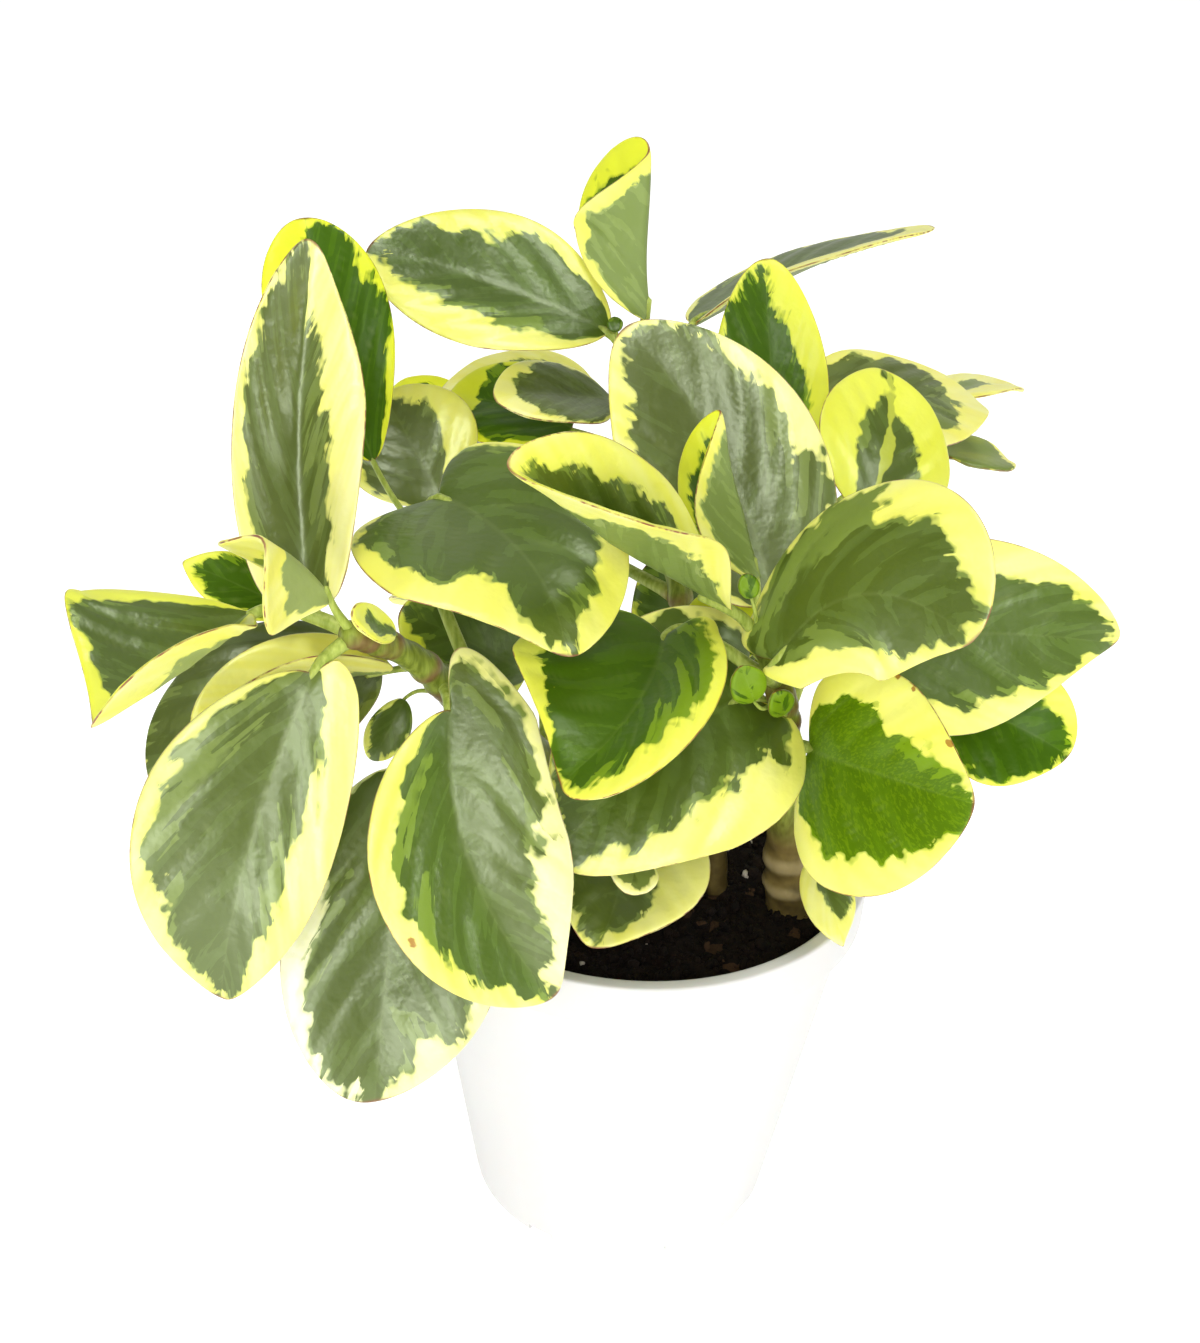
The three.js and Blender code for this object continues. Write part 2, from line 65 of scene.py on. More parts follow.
# ---------------------------------------------------------------- driving dimensions
POT = dict(
    height=106, rim_radius=60, base_radius=40.5, wall=2.2, floor=5.5, rim_drop=13, rim_step=1.6, sides=144,
)
DRAIN = dict(count=8, width=7, height=2.5, length=14, hole_radius=3, first_angle=14)
SOIL = dict(
    top=98, crown=2.5, sunk=0.8, clearance=0.35, shoulder=6, lump_size=7, lump_height=1.6, grain_size=1.8,
    grain_height=0.7, cell=3, rings=70, sides=220,
)
# How many crumbs, their smallest and largest radius, and their material: 0 peat, 1 perlite.
CRUMBS = ((2600, 0.35, 1.1, 0), (420, 0.9, 2.1, 0), (60, 0.6, 1.5, 1))
BLADE_THICKNESS = 1.4
PETIOLE = dict(
    width_share=0.042, thinnest=0.7, thickest=1.9, taper=0.5, under_blade=0.14, sink=1.5,
    drop=0.35, straight=0.3, lowest=0.12, highest=0.985, sides=14, reddened=0.1, swelling=0.35,
    swelling_end=0.08,
)
KEEL = 2.0  # how far the fold along a midrib is rounded
MIDRIB = dict(groove=0.12, groove_width=0.9, ridge=0.9, ridge_width=1.5)
# What makes a leaf's skin uneven, and the half width from which a leaf has all of it.
RELIEF = dict(dome=4.2, valley=0.2, puff=0.9, roll=0.9, long_wave=0.7, short_wave=0.45)
GROWN_HALF_WIDTH = 22
# Veins leave the midrib and arch to the tip: a vein is further along by VEIN_RISE * across ** VEIN_BOW.
VEIN_RISE = 1.05
VEIN_BOW = 1.15
VEIN_COUNT = 4.6  # side veins in each half
VEIN_WIDTH = 0.1
# The stations at which a leaf's green and dark values apply lie on lines that arch less.
STATION_RISE = 0.75
STATION_BOW = 1.3
STATION_ENDS = (-1.1, 0.9)
NO_SPOT = 9  # farther from a wound than its brown reaches
STEM_SIDES = 28
RING_WIDTH = 2.2
RING_SWELLING = 0.16
STEM_WAVE = 0.04
WAVE_LENGTH = 9
LUMPS_PER_METRE = 220
LUMP_HEIGHT = 0.35
SCARS = dict(first=0.2, gap=0.13, clear=0.06)  # rings where the old leaves below the lowest one fell
OLD_SHARE = 0.5  # the lower share of a stem that has turned tan
OLD_FADE = 0.15
# Each green of a leaf's upper side and underside, of a grey leaf and of a vivid one: pale, deep and worn.
# The grey greens partly paint the sheen of the sky on the wax, and the vivid ones partly paint light shining
# through the leaf.
UPPER_GREENS = (("#75853c", "#789a0c"), ("#515f16", "#3f6301"), ("#5c6c28", "#496e03"))
UNDER_GREENS = (("#98a762", "#9fbb2a"), ("#778944", "#7f9c22"), ("#83954e", "#8ba82c"))
OFF_AXIS = (0.31, 0.92, 0.24)  # a direction that no stem or petiole starts in
TOUCHING = 1e-5  # how near points of a flat leaf pattern are joined
MERGING = 1e-7  # metres between points of a body that are joined

# Each stem's points, from the soil to its growing tip, and its radii at the foot, the middle and the tip.
STEMS = {
    "stem_centre": dict(
        points=[(41, -10, 86), (40, -12, 98), (37, -16, 120), (34, -22, 142), (31, -26, 166), (22, -31, 190)],
        radii=(7.4, 4.4, 2.2),
    ),
    "stem_left": dict(
        points=[(4, 2, 86), (1, 0, 100), (-25, -20, 143), (-45, -46, 177), (-54, -59, 193), (-64, -75, 206)],
        radii=(4.8, 4.5, 2.6),
    ),
    "stem_top": dict(
        points=[(22, -6, 86), (21, -8, 98), (13, 0, 150), (-1, 12, 204), (-10, 19, 232)],
        radii=(3.2, 2.7, 2.1),
    ),
    "stem_rear_right": dict(
        points=[(16, 12, 86), (18, 14, 98), (29, 31, 148), (38, 45, 185), (38, 50, 206)],
        radii=(4.2, 3.6, 2.4),
    ),
    "stem_rear_left": dict(
        points=[(0, 20, 86), (-2, 21, 98), (-18, 24, 145), (-36, 32, 178), (-42, 34, 190)],
        radii=(3.8, 3.4, 2.4),
    ),
}

# Each leaf. Its name says which stem carries it. The shape values are the part's own: base and tip
# are the ends of the midrib and face is the way its upper side looks; bend, sweep, fold, twist, egg,
# heart, ear, point, wedge, lean and skew shape the blade, and at says where on the stem it starts.
# green says how far the green reaches from the midrib, 1 being the margin, at even stations from the
# base to the tip, in the right half and then the left. One row stands for both halves, and one number
# for a whole row. dark says the same of the darkest green.
# The vivid tone runs from 0, grey green, to 1, bright green. It is partly the leaf's own tone, younger leaves
# being brighter,
# and partly painted light: the grey stands for the sheen of the sky on the wax, and the bright green for
# light shining through the leaf and for shade. The lime tone runs from 0, a cream margin, to 1, a lime one,
# and partly paints light glowing through the margin. Below 0 the margin is whiter, which paints glare. Either
# may be one number or a pair, for the right half and the left.
# fleck says how flecked the green is, bare how wide a strip along the midrib has none, and spots are
# wounds: their place along and across the blade, each from -1 to 1, and their radius.
PLAIN_LEAF = dict(
    face=(0, -0.8, 0.6), bend=20, sweep=0, fold=8, twist=0, egg=0, heart=0, ear=0, point=0.15, wedge=0.2,
    lean=0, skew=0, at=None, green=None, dark=None, vivid_and_backlit=0.3, lime_glow_and_glare=0.4, fleck=0, bare=-9, spots=(),
)
LEAVES = {
    "leaf_centre_01": dict(
        base=(27, -22, 190), tip=(-10, 10, 243), face=(0.09, -0.85, 0.52), width=48, bend=-26, sweep=-6,
        fold=7, egg=-0.15, heart=0.1, point=0.19, wedge=0.31, lean=0.04, skew=0.03,
        green=((0.9, 0.9, 0.65, 0.88, 0.76, 0.92, 0.95, 0.97, 0.97),
               (0.8, 0.8, 0.8, 0.8, 0.83, 0.85, 0.78, 0.92, 0.88)),
        # The right half's dark row dips low in the middle, which leaves pale green there that paints the
        # sheen of the light on that part of the blade. The right margin's lime value below 0 paints glare.
        dark=((0.8, 0.6, 0.45, 0.5, 0.6, 0.9, 0.93, 0.95, 0.95),
              (0.78, 0.78, 0.78, 0.78, 0.8, 0.83, 0.75, 0.9, 0.86)), vivid_and_backlit=0, lime_glow_and_glare=(-0.15, 0.1),
    ),
    "leaf_centre_02": dict(
        base=(17, -34, 194), tip=(-32, -70, 242), face=(0.3, -0.31, 0.9), width=42, bend=-7, sweep=-1,
        fold=57, twist=-32, egg=0.15, wedge=0.7, lean=0.14, skew=-0.13, at=0.93,
        green=((0.5, 0.7, 0.6, 0.75, 0.9), (0.6, 0.6, 0.6, 0.5, 0.5)), vivid_and_backlit=0.3, lime_glow_and_glare=0.5,
    ),
    "leaf_centre_03": dict(
        base=(22, -25, 197), tip=(12, -21, 236), face=(-0.97, -0.2, 0.12), width=27, bend=15, sweep=-1,
        fold=67, twist=3, egg=-0.05, point=0.26, wedge=0.5, lean=0.06, skew=0.08,
        green=(0.85, 0.8, 0.75, 0.75, 0.8), vivid_and_backlit=0.9, lime_glow_and_glare=1,
    ),
    "leaf_centre_04": dict(
        base=(21, -34, 197), tip=(19, -34, 203), face=(0, -0.9, 0.5), width=5, green=1.5, dark=-1, vivid_and_backlit=0.9,
        lime_glow_and_glare=1,
    ),
    "leaf_centre_05": dict(
        base=(27, -42, 186), tip=(65, -66, 206), face=(0.05, -0.82, 0.57), width=42, bend=16, sweep=12,
        fold=-8, twist=14, egg=0.36, heart=0.46, point=0.45, wedge=0.48, lean=0.16, skew=0.04, at=0.82,
        green=((0.35, 0.6, 0.6, 0.7, 0.73, 0.83, 0.85, 0.94, 0.97),
               (0.87, 0.95, 0.88, 0.64, 0.67, 0.74, 0.74, 0.89, 0.97)),
        dark=((0.1, 0.3, 0.15, 0.4, 0.6, 0.8, 0.84, 0.93, 0.96),
              (0.5, 0.6, 0.5, 0.55, 0.62, 0.72, 0.72, 0.88, 0.96)), vivid_and_backlit=0.2, lime_glow_and_glare=0.3,
    ),
    "leaf_centre_06": dict(
        base=(44, -12, 174), tip=(112, -6, 175), face=(0, -0.93, 0.37), width=47, bend=12, sweep=3, fold=-2,
        twist=3, egg=-0.25, heart=0.01, point=0.52, wedge=0.17, lean=-0.03, skew=0.09,
        green=((0.6, 0.65, 0.7, 0.7, 0.68, 0.78, 0.88, 0.92, 0.97),
               (0.6, 0.6, 0.6, 0.64, 0.64, 0.77, 0.85, 0.9, 0.96)),
        dark=((0.55, 0.6, 0.6, 0.6, 0.65, 0.6, 0.8, 0.9, 0.96),
              (0.55, 0.55, 0.55, 0.6, 0.6, 0.75, 0.82, 0.9, 0.96)), vivid_and_backlit=0.4, lime_glow_and_glare=0.1,
    ),
    "leaf_centre_07": dict(
        base=(76, 11, 148), tip=(107, 0, 139), face=(0.09, -0.82, 0.57), width=34, sweep=1, fold=7, egg=-0.08,
        point=0.22, wedge=0.19, lean=-0.04, skew=0.05,
        green=((0.9, 0.95, 0.95, 0.9, 0.95), (0.6, 0.6, 0.64, 0.75, 0.95)),
        dark=((0.88, 0.93, 0.93, 0.88, 0.93), (0.55, 0.55, 0.6, 0.7, 0.93)), vivid_and_backlit=1, lime_glow_and_glare=0.6,
    ),
    "leaf_centre_08": dict(
        base=(38, -28, 155), tip=(71, -64, 165), face=(0.08, -0.93, 0.35), width=53, bend=21, fold=12,
        twist=-1, egg=-0.11, heart=0.11, point=0.28, wedge=0.17, lean=-0.08, skew=-0.04,
        green=((0.76, 0.77, 0.74, 0.72, 0.75, 0.72, 0.85, 0.93, 0.97),
               (0.71, 0.71, 0.7, 0.52, 0.47, 0.63, 0.74, 0.84, 0.95)),
        dark=((0.74, 0.75, 0.72, 0.7, 0.73, 0.7, 0.83, 0.92, 0.96),
              (0.68, 0.68, 0.66, 0.5, 0.44, 0.35, 0.35, 0.8, 0.93)), vivid_and_backlit=1, lime_glow_and_glare=0.3, fleck=1,
        spots=((0.75, 0.62, 0.9), (0.1, 0.98, 0.8), (0.3, 0.93, 0.6)),
    ),
    "leaf_centre_09": dict(
        base=(2, -37, 188), tip=(-19, -82, 176), face=(-0.31, -0.78, 0.55), width=47, bend=18, sweep=5,
        fold=13, twist=-1, egg=-0.02, heart=0.45, ear=0.03, point=0.33, wedge=0.38, lean=-0.28, skew=0.17,
        at=0.8,
        green=((0.9, 0.85, 0.8, 0.7, 0.7, 0.8, 0.9, 0.95, 0.97),
               (0.85, 0.82, 0.78, 0.7, 0.6, 0.73, 0.88, 0.9, 0.97)),
        dark=((0.87, 0.82, 0.77, 0.68, 0.68, 0.78, 0.88, 0.93, 0.96),
              (0.45, 0.35, 0.3, 0.25, 0.42, 0.6, 0.7, 0.85, 0.95)), vivid_and_backlit=0.85, lime_glow_and_glare=0.7,
    ),
    "leaf_centre_10": dict(
        base=(22, -28, 168), tip=(-20, -67, 147), face=(0.03, -0.83, 0.56), width=55, bend=30, sweep=-4,
        fold=12, twist=5, egg=-0.43, heart=0.44, ear=0.06, point=0.05, wedge=0.5, lean=0.04, skew=0.1,
        at=0.62,
        green=((0.9, 0.9, 0.9, 0.9, 0.9, 0.9, 0.9, 0.9, 0.95),
               (0.85, 0.62, 0.53, 0.6, 0.7, 0.74, 0.8, 0.95, 0.97)),
        dark=((0.87, 0.87, 0.87, 0.87, 0.87, 0.87, 0.87, 0.88, 0.93),
              (0.8, 0.58, 0.5, 0.5, 0.55, 0.72, 0.78, 0.93, 0.95)), vivid_and_backlit=0.3, lime_glow_and_glare=0.2,
    ),
    "leaf_centre_11": dict(
        base=(43, -21, 119), tip=(50, -42, 108), face=(0.01, -0.8, 0.6), width=13, bend=21, fold=9, egg=-0.05,
        point=0.8, skew=-0.04, green=((0.2, 0.2, 0.2, 0.3, 0.4), (0.9, 0.9, 0.8, 0.6, 0.4)), vivid_and_backlit=0.2,
        lime_glow_and_glare=0.2,
    ),
    "leaf_centre_12": dict(
        base=(23, -40, 174), tip=(19, -44, 185), width=9, at=0.78, green=(1.5, 1.5, 1.5, 1.3, 1.1), dark=-1,
        vivid_and_backlit=0.9, lime_glow_and_glare=1,
    ),
    "leaf_centre_13": dict(
        base=(31, -33, 167), tip=(28, -37, 175), width=7, green=(1.5, 1.5, 1.5, 1.3, 1.1), dark=-1, vivid_and_backlit=0.9,
        lime_glow_and_glare=1,
    ),
    "leaf_centre_14": dict(
        base=(24, -18, 174), tip=(9, -6, 181), face=(0, -0.75, 0.65), width=18, egg=-0.1, point=0.3,
        green=(0.5, 0.5, 0.5, 0.4, 0.4), dark=0.2, vivid_and_backlit=0.8, lime_glow_and_glare=1,
    ),
    "leaf_left_01": dict(
        base=(-73, -61, 205), tip=(-75, -29, 272), face=(0.09, -0.86, 0.5), width=32, bend=-24, sweep=3,
        fold=32, twist=29, egg=-0.12, heart=0.17, point=0.23, wedge=0.13, skew=0.08,
        green=((0.67, 0.56, 0.52, 0.5, 0.36, 0.42, 0.57, 0.6, 0.6),
               (0.8, 0.8, 0.86, 0.93, 0.9, 0.93, 0.94, 0.95, 0.93)),
        dark=((0.5, 0.4, 0.2, 0.1, 0.1, 0.2, 0.4, 0.5, 0.55),
              (0.75, 0.7, 0.7, 0.85, 0.8, 0.9, 0.9, 0.92, 0.9)), vivid_and_backlit=0, lime_glow_and_glare=-0.1,
    ),
    "leaf_left_02": dict(
        base=(-50, -27, 215), tip=(-19, -69, 199), face=(0.13, -0.43, 0.9), width=56, bend=34, sweep=5,
        fold=7, twist=-14, egg=-0.23, heart=0.41, ear=-0.1, point=0.45, wedge=0.22, lean=-0.15, skew=0.05,
        at=0.6,
        green=((0.9, 0.85, 0.78, 0.76, 0.45, 0.42, 0.69, 0.87, 0.96),
               (0.9, 0.9, 0.75, 0.72, 0.66, 0.78, 0.72, 0.8, 0.95)),
        dark=((0.8, 0.75, 0.72, 0.7, 0.3, 0.35, 0.66, 0.86, 0.95),
              (0.85, 0.85, 0.72, 0.7, 0.6, 0.6, 0.5, 0.78, 0.95)), vivid_and_backlit=0.35, lime_glow_and_glare=0.35,
    ),
    "leaf_left_03": dict(
        base=(-84, -71, 207), tip=(-106, -114, 205), face=(-0.2, -0.06, 0.98), width=46, bend=-1, sweep=1,
        fold=37, twist=22, egg=0.4, point=0.46, wedge=0.48, lean=-0.13, skew=0.3,
        green=((0.6, 0.8, 0.95, 0.8, 0.6), (0.3, 0.45, 0.45, 0.3, 0.1)),
        dark=((0.5, 0.7, 0.9, 0.75, 0.55), (-1, -1, -1, -1, -1)), vivid_and_backlit=0.3, lime_glow_and_glare=0.8,
    ),
    "leaf_left_04": dict(
        base=(-82, -34, 188), tip=(-105, -38, 201), face=(0.2, -0.6, 0.6), width=14, point=0.5,
        green=((0.8, 0.9, 0.8, 0.7, 0.7), (0.8, 0.8, 0.8, 0.7, 0.7)), vivid_and_backlit=0.9, lime_glow_and_glare=0.8,
    ),
    "leaf_left_05": dict(
        base=(-67, -76, 213), tip=(-77, -94, 235), face=(-0.5, 0.04, -0.86), width=28, bend=-10, sweep=2,
        fold=46, twist=8, egg=0.48, point=0.21, wedge=0.35, lean=-0.12, skew=0.05,
        green=(0.8, 0.7, 0.5, 0.4, 0.3), dark=-1, vivid_and_backlit=0.3, lime_glow_and_glare=0.2,
    ),
    "leaf_left_06": dict(
        base=(-63, -44, 185), tip=(-103, -80, 166), face=(-0.3, -0.6, 0.6), width=41, bend=40, at=0.7,
        green=1.1, dark=0.9, vivid_and_backlit=0, lime_glow_and_glare=0,
    ),
    "leaf_left_07": dict(
        base=(-70, -79, 198), tip=(-87, -106, 135), face=(0.12, -0.91, 0.4), width=41, bend=30, sweep=-3,
        fold=7, twist=6, egg=-0.06, heart=0.15, ear=0.9, point=0.4, wedge=0.42, lean=-0.16, skew=0.02,
        green=((0.8, 0.88, 0.84, 0.89, 0.72, 0.81, 0.87, 0.89, 0.96),
               (0.37, 0.53, 0.54, 0.4, 0.6, 0.6, 0.69, 0.9, 0.96)),
        dark=((0.3, 0.35, 0.45, 0.6, 0.55, 0.7, 0.85, 0.88, 0.96),
              (0.3, 0.45, 0.5, 0.3, 0.3, 0.3, 0.6, 0.88, 0.96)), vivid_and_backlit=0.1, lime_glow_and_glare=0.1,
    ),
    "leaf_left_08": dict(
        base=(-57, -54, 186), tip=(-96, -78, 183), face=(-0.5, -0.3, 0.6), width=24, bend=30, fold=60,
        green=(0.3, 0.35, 0.3, 0.2, 0.1), dark=-1, vivid_and_backlit=0.2, lime_glow_and_glare=0.1,
    ),
    "leaf_left_09": dict(
        base=(-44, -59, 179), tip=(-18, -84, 122), face=(0.21, -0.85, 0.49), width=44, bend=25, sweep=-8,
        fold=9, twist=6, egg=-0.09, heart=0.34, ear=1, point=0.46, wedge=0.43, skew=-0.02,
        green=((0.74, 0.64, 0.83, 0.7, 0.76, 0.81, 0.79, 0.9, 0.96),
               (0.85, 0.85, 0.8, 0.6, 0.55, 0.6, 0.79, 0.82, 0.96)),
        dark=((0.7, 0.35, 0.5, 0.4, 0.7, 0.8, 0.78, 0.9, 0.96),
              (0.5, 0.45, 0.6, 0.55, 0.5, 0.58, 0.77, 0.8, 0.96)), vivid_and_backlit=(0.5, 0.1), lime_glow_and_glare=(0.3, -0.4),
        spots=((0.2, -0.86, 1.1),),
    ),
    "leaf_left_10": dict(
        base=(-55, -46, 155), tip=(-58, -87, 92), face=(0.04, -0.87, 0.48), width=50, bend=30, fold=6,
        egg=0.04, heart=0.04, point=0.2, wedge=0.19, lean=0.04, skew=-0.05,
        green=((0.85, 0.8, 0.62, 0.71, 0.83, 0.9, 0.95, 0.96, 0.97),
               (0.7, 0.8, 0.8, 0.8, 0.87, 0.88, 0.66, 0.86, 0.96)),
        dark=((0.8, 0.7, 0.5, 0.35, 0.6, 0.9, 0.94, 0.96, 0.97),
              (0.6, 0.7, 0.7, 0.7, 0.8, 0.8, 0.35, 0.8, 0.95)), vivid_and_backlit=(0.1, 0.1), lime_glow_and_glare=(-0.9, -0.3),
    ),
    "leaf_left_11": dict(
        base=(-56, -40, 170), tip=(-63, -46, 157), face=(0.3, -0.8, 0.5), width=10,
        green=(0.85, 0.85, 0.85, 0.85, 0.9), dark=(0.8, 0.8, 0.8, 0.8, 0.85), vivid_and_backlit=0.3, lime_glow_and_glare=0.3,
    ),
    "leaf_left_12": dict(
        base=(-55, -64, 200), tip=(-62, -80, 213), face=(0.3, -0.7, 0.7), width=9, bend=-20, fold=30,
        green=((0.5, 0.5, 0.5, 0.4, 0.4), (0.6, 0.6, 0.6, 0.4, 0.4)), vivid_and_backlit=0.5, lime_glow_and_glare=0.7,
    ),
    "leaf_left_13": dict(
        base=(-30, -6, 159), tip=(-59, -20, 182), face=(0.1, -0.75, 0.6), width=34, bend=20, egg=-0.1,
        point=0.3, green=((1, 1, 1, 0.9, 0.9), (0.6, 0.6, 0.6, 0.7, 0.9)), vivid_and_backlit=0.4, lime_glow_and_glare=0.8,
    ),
    "leaf_top_01": dict(
        base=(-14, 20, 238), tip=(-71, 27, 254), face=(0, -0.62, 0.78), width=38, bend=-20, sweep=-3,
        twist=-2, egg=-0.02, point=0.17, wedge=0.32, lean=0.01, skew=0.11,
        green=((0.68, 0.75, 0.74, 0.68, 0.6, 0.67, 0.86, 0.92, 0.96),
               (0.65, 0.62, 0.55, 0.6, 0.64, 0.6, 0.77, 0.83, 0.95)),
        dark=((0.66, 0.73, 0.72, 0.66, 0.55, 0.65, 0.84, 0.9, 0.95),
              (0.62, 0.5, 0.3, 0.4, 0.5, 0.45, 0.75, 0.8, 0.93)), vivid_and_backlit=0.4, lime_glow_and_glare=0.4,
    ),
    "leaf_top_02": dict(
        base=(-6, 18, 242), tip=(-6, 30, 279), face=(-0.94, 0.1, 0.32), width=42, bend=11, sweep=-2, fold=54,
        twist=-4, egg=0.26, point=0.45, wedge=0.44, lean=-0.03, skew=0.33,
        green=((0.85, 0.9, 0.8, 0.65, 0.7), (0.9, 0.95, 0.85, 0.65, 0.7)),
        dark=((0.8, 0.85, 0.75, 0.6, 0.65), (0.85, 0.9, 0.8, 0.6, 0.65)), vivid_and_backlit=0.7, lime_glow_and_glare=1,
    ),
    "leaf_top_03": dict(
        base=(-12, 17, 239), tip=(-13, 19, 242), width=4, point=0.5, green=(1.5, 1.5, 1.5, 1.3, 1.1),
        dark=(0.6, 0.6, 0.5, 0.4, 0.4), vivid_and_backlit=0.7, lime_glow_and_glare=1,
    ),
    "leaf_top_04": dict(
        base=(-16, 54, 208), tip=(-57, 66, 204), face=(0, -0.3, 0.95), width=27, bend=20, at=0.74,
        green=((0.6, 0.6, 0.55, 0.5, 0.5), (0.8, 0.8, 0.8, 0.6, 0.5)), vivid_and_backlit=0.2, lime_glow_and_glare=0.2,
    ),
    "leaf_top_05": dict(
        base=(-12, 28, 217), tip=(-40, 12, 223), face=(0, -0.4, 0.9), width=23, bend=20,
        green=((0.8, 0.9, 0.8, 0.7, 0.6), (0.95, 0.95, 0.9, 0.6, 0.5)), vivid_and_backlit=0, lime_glow_and_glare=0,
    ),
    "leaf_top_06": dict(
        base=(-22, 34, 207), tip=(-54, 46, 210), face=(0, -0.5, 0.85), width=27,
        green=((0.9, 0.9, 0.9, 0.6, 0.3), (0.9, 0.9, 0.9, 0.45, 0.3)), vivid_and_backlit=0.9, lime_glow_and_glare=1,
    ),
    "leaf_top_07": dict(
        base=(-6, -13, 121), tip=(-10, -53, 112), face=(0.14, -0.7, 0.7), width=40, bend=25, sweep=3, fold=23,
        twist=-3, egg=-0.18, point=0.16, lean=0.09, skew=-0.16,
        green=((0.9, 0.9, 0.9, 0.9, 0.95), (0.4, 0.4, 0.45, 0.7, 0.9)),
        dark=((0.85, 0.85, 0.85, 0.85, 0.9), (0.35, 0.35, 0.4, 0.6, 0.85)), vivid_and_backlit=0.1, lime_glow_and_glare=0.1,
    ),
    "leaf_top_08": dict(
        base=(-1, -44, 133), tip=(-3, -54, 129), face=(0.1, -0.8, 0.6), width=12,
        green=(0.8, 0.8, 0.8, 0.7, 0.6), dark=-1, vivid_and_backlit=0, lime_glow_and_glare=-0.3,
    ),
    "leaf_top_09": dict(
        base=(-17, 35, 176), tip=(-15, 86, 152), face=(-0.1, 0.5, 0.85), width=44, bend=30,
    ),
    "leaf_rear_right_01": dict(
        base=(8, 79, 221), tip=(75, 118, 237), face=(-0.11, 0.31, 0.94), width=36, bend=13, sweep=2, fold=10,
        twist=8, egg=-0.07, heart=0.03, wedge=0.14, lean=0.01, skew=0.02,
        green=((0.6, 0.7, 0.7, 0.7, 0.7), (0.8, 0.85, 0.8, 0.8, 0.8)), vivid_and_backlit=0.2, lime_glow_and_glare=0.2,
    ),
    "leaf_rear_right_02": dict(
        base=(34, 44, 194), tip=(25, 66, 243), face=(0.09, -0.91, 0.4), width=29, sweep=2, egg=-0.18,
        heart=0.01, point=0.08, wedge=0.19, lean=0.03, skew=-0.03,
        green=((0.6, 0.6, 0.5, 0.6, 0.85), (0.9, 0.9, 0.9, 0.9, 0.9)),
        dark=((0.5, 0.5, 0.4, 0.5, 0.8), (0.9, 0.9, 0.9, 0.85, 0.85)), vivid_and_backlit=0.9, lime_glow_and_glare=0.8,
    ),
    "leaf_rear_right_03": dict(
        base=(42, 66, 207), tip=(90, 82, 199), face=(0.09, -0.29, 0.95), width=39, bend=13, sweep=-1, fold=0,
        twist=-10, egg=-0.17, heart=0.1, point=0.18, wedge=0.09, lean=-0.02, skew=0.07,
        green=((0.6, 0.6, 0.7, 0.6, 0.5), (0.8, 0.8, 0.7, 0.5, 0.3)),
        dark=((0.3, 0.2, 0.2, 0.1, 0), (0.7, 0.7, 0.5, 0.2, 0)), vivid_and_backlit=0, lime_glow_and_glare=0.1,
    ),
    "leaf_rear_right_04": dict(
        base=(77, 98, 194), tip=(105, 120, 191), face=(0.1, 0.2, 1), width=22, green=0.3, dark=-1, vivid_and_backlit=0.1,
        lime_glow_and_glare=0.1,
    ),
    "leaf_rear_right_05": dict(
        base=(51, 18, 194), tip=(57, 48, 221), face=(0.36, -0.84, 0.4), width=40, bend=17, sweep=-2, fold=4,
        twist=1, egg=-0.13, point=0.19, wedge=0.29, lean=0.04, skew=0.07,
        green=((0.5, 0.5, 0.38, 0.45, 0.9), (0.4, 0.45, 0.4, 0.45, 0.9)),
        dark=((0.3, 0.4, 0.35, 0.4, 0.85), (0.25, 0.3, 0.3, 0.42, 0.85)), vivid_and_backlit=0.2, lime_glow_and_glare=0.8, bare=1.5,
    ),
    "leaf_rear_right_06": dict(
        base=(80, 78, 186), tip=(100, 88, 181), face=(0, -0.2, 1), width=18, green=(1, 1, 1, 0.7, 0.6),
        dark=-1, vivid_and_backlit=0.1, lime_glow_and_glare=0.1,
    ),
    "leaf_rear_right_07": dict(
        base=(22, 64, 190), tip=(28, 122, 172), face=(0, 0.4, 0.9), width=44, bend=30,
    ),
    "leaf_rear_right_08": dict(
        base=(58, 62, 174), tip=(92, 100, 150), face=(0.4, 0.3, 0.85), width=42, bend=30, at=0.7,
    ),
    "leaf_rear_right_09": dict(
        base=(40, 50, 150), tip=(62, 92, 118), face=(0.3, 0.5, 0.8), width=40, bend=30, heart=0.2,
    ),
    "leaf_rear_right_10": dict(
        base=(25, 24, 146), tip=(-1, 18, 179), face=(-0.1, -0.85, 0.5), width=38, bend=15, egg=-0.1,
        point=0.3, green=(1, 1, 1, 1, 1), vivid_and_backlit=0.6, lime_glow_and_glare=0.8,
    ),
    "leaf_rear_left_01": dict(
        base=(-66, -12, 216), tip=(-84, 13, 264), face=(0.25, -0.87, 0.42), width=28, bend=24, sweep=1,
        fold=16, twist=3, egg=0.24, point=0.21, wedge=0.29, lean=0.03, skew=0.01,
        green=((0.8, 0.95, 0.8, 0.9, 0.97), (0.6, 0.6, 0.6, 0.6, 0.8)),
        dark=((0.78, 0.93, 0.78, 0.88, 0.95), (0.58, 0.58, 0.58, 0.58, 0.78)), vivid_and_backlit=1, lime_glow_and_glare=1,
    ),
    "leaf_rear_left_02": dict(
        base=(-50, 66, 200), tip=(-72, 78, 198), face=(0, -0.6, 0.8), width=10,
        green=((0.3, 0.3, 0.3, 0.3, 0.3), (0.5, 0.5, 0.4, 0.3, 0.3)), vivid_and_backlit=1, lime_glow_and_glare=1,
    ),
    "leaf_rear_left_03": dict(
        base=(-53, 18, 193), tip=(-69, 34, 214), width=34,
        green=((0.2, 0.35, 0.55, 0.75, 0.95), (0.85, 0.85, 0.85, 0.85, 0.95)), vivid_and_backlit=0, lime_glow_and_glare=0.2,
    ),
    "leaf_rear_left_04": dict(
        base=(-40, 54, 184), tip=(-58, 106, 170), face=(-0.2, 0.4, 0.9), width=42, bend=30, at=0.8,
    ),
    "leaf_rear_left_05": dict(
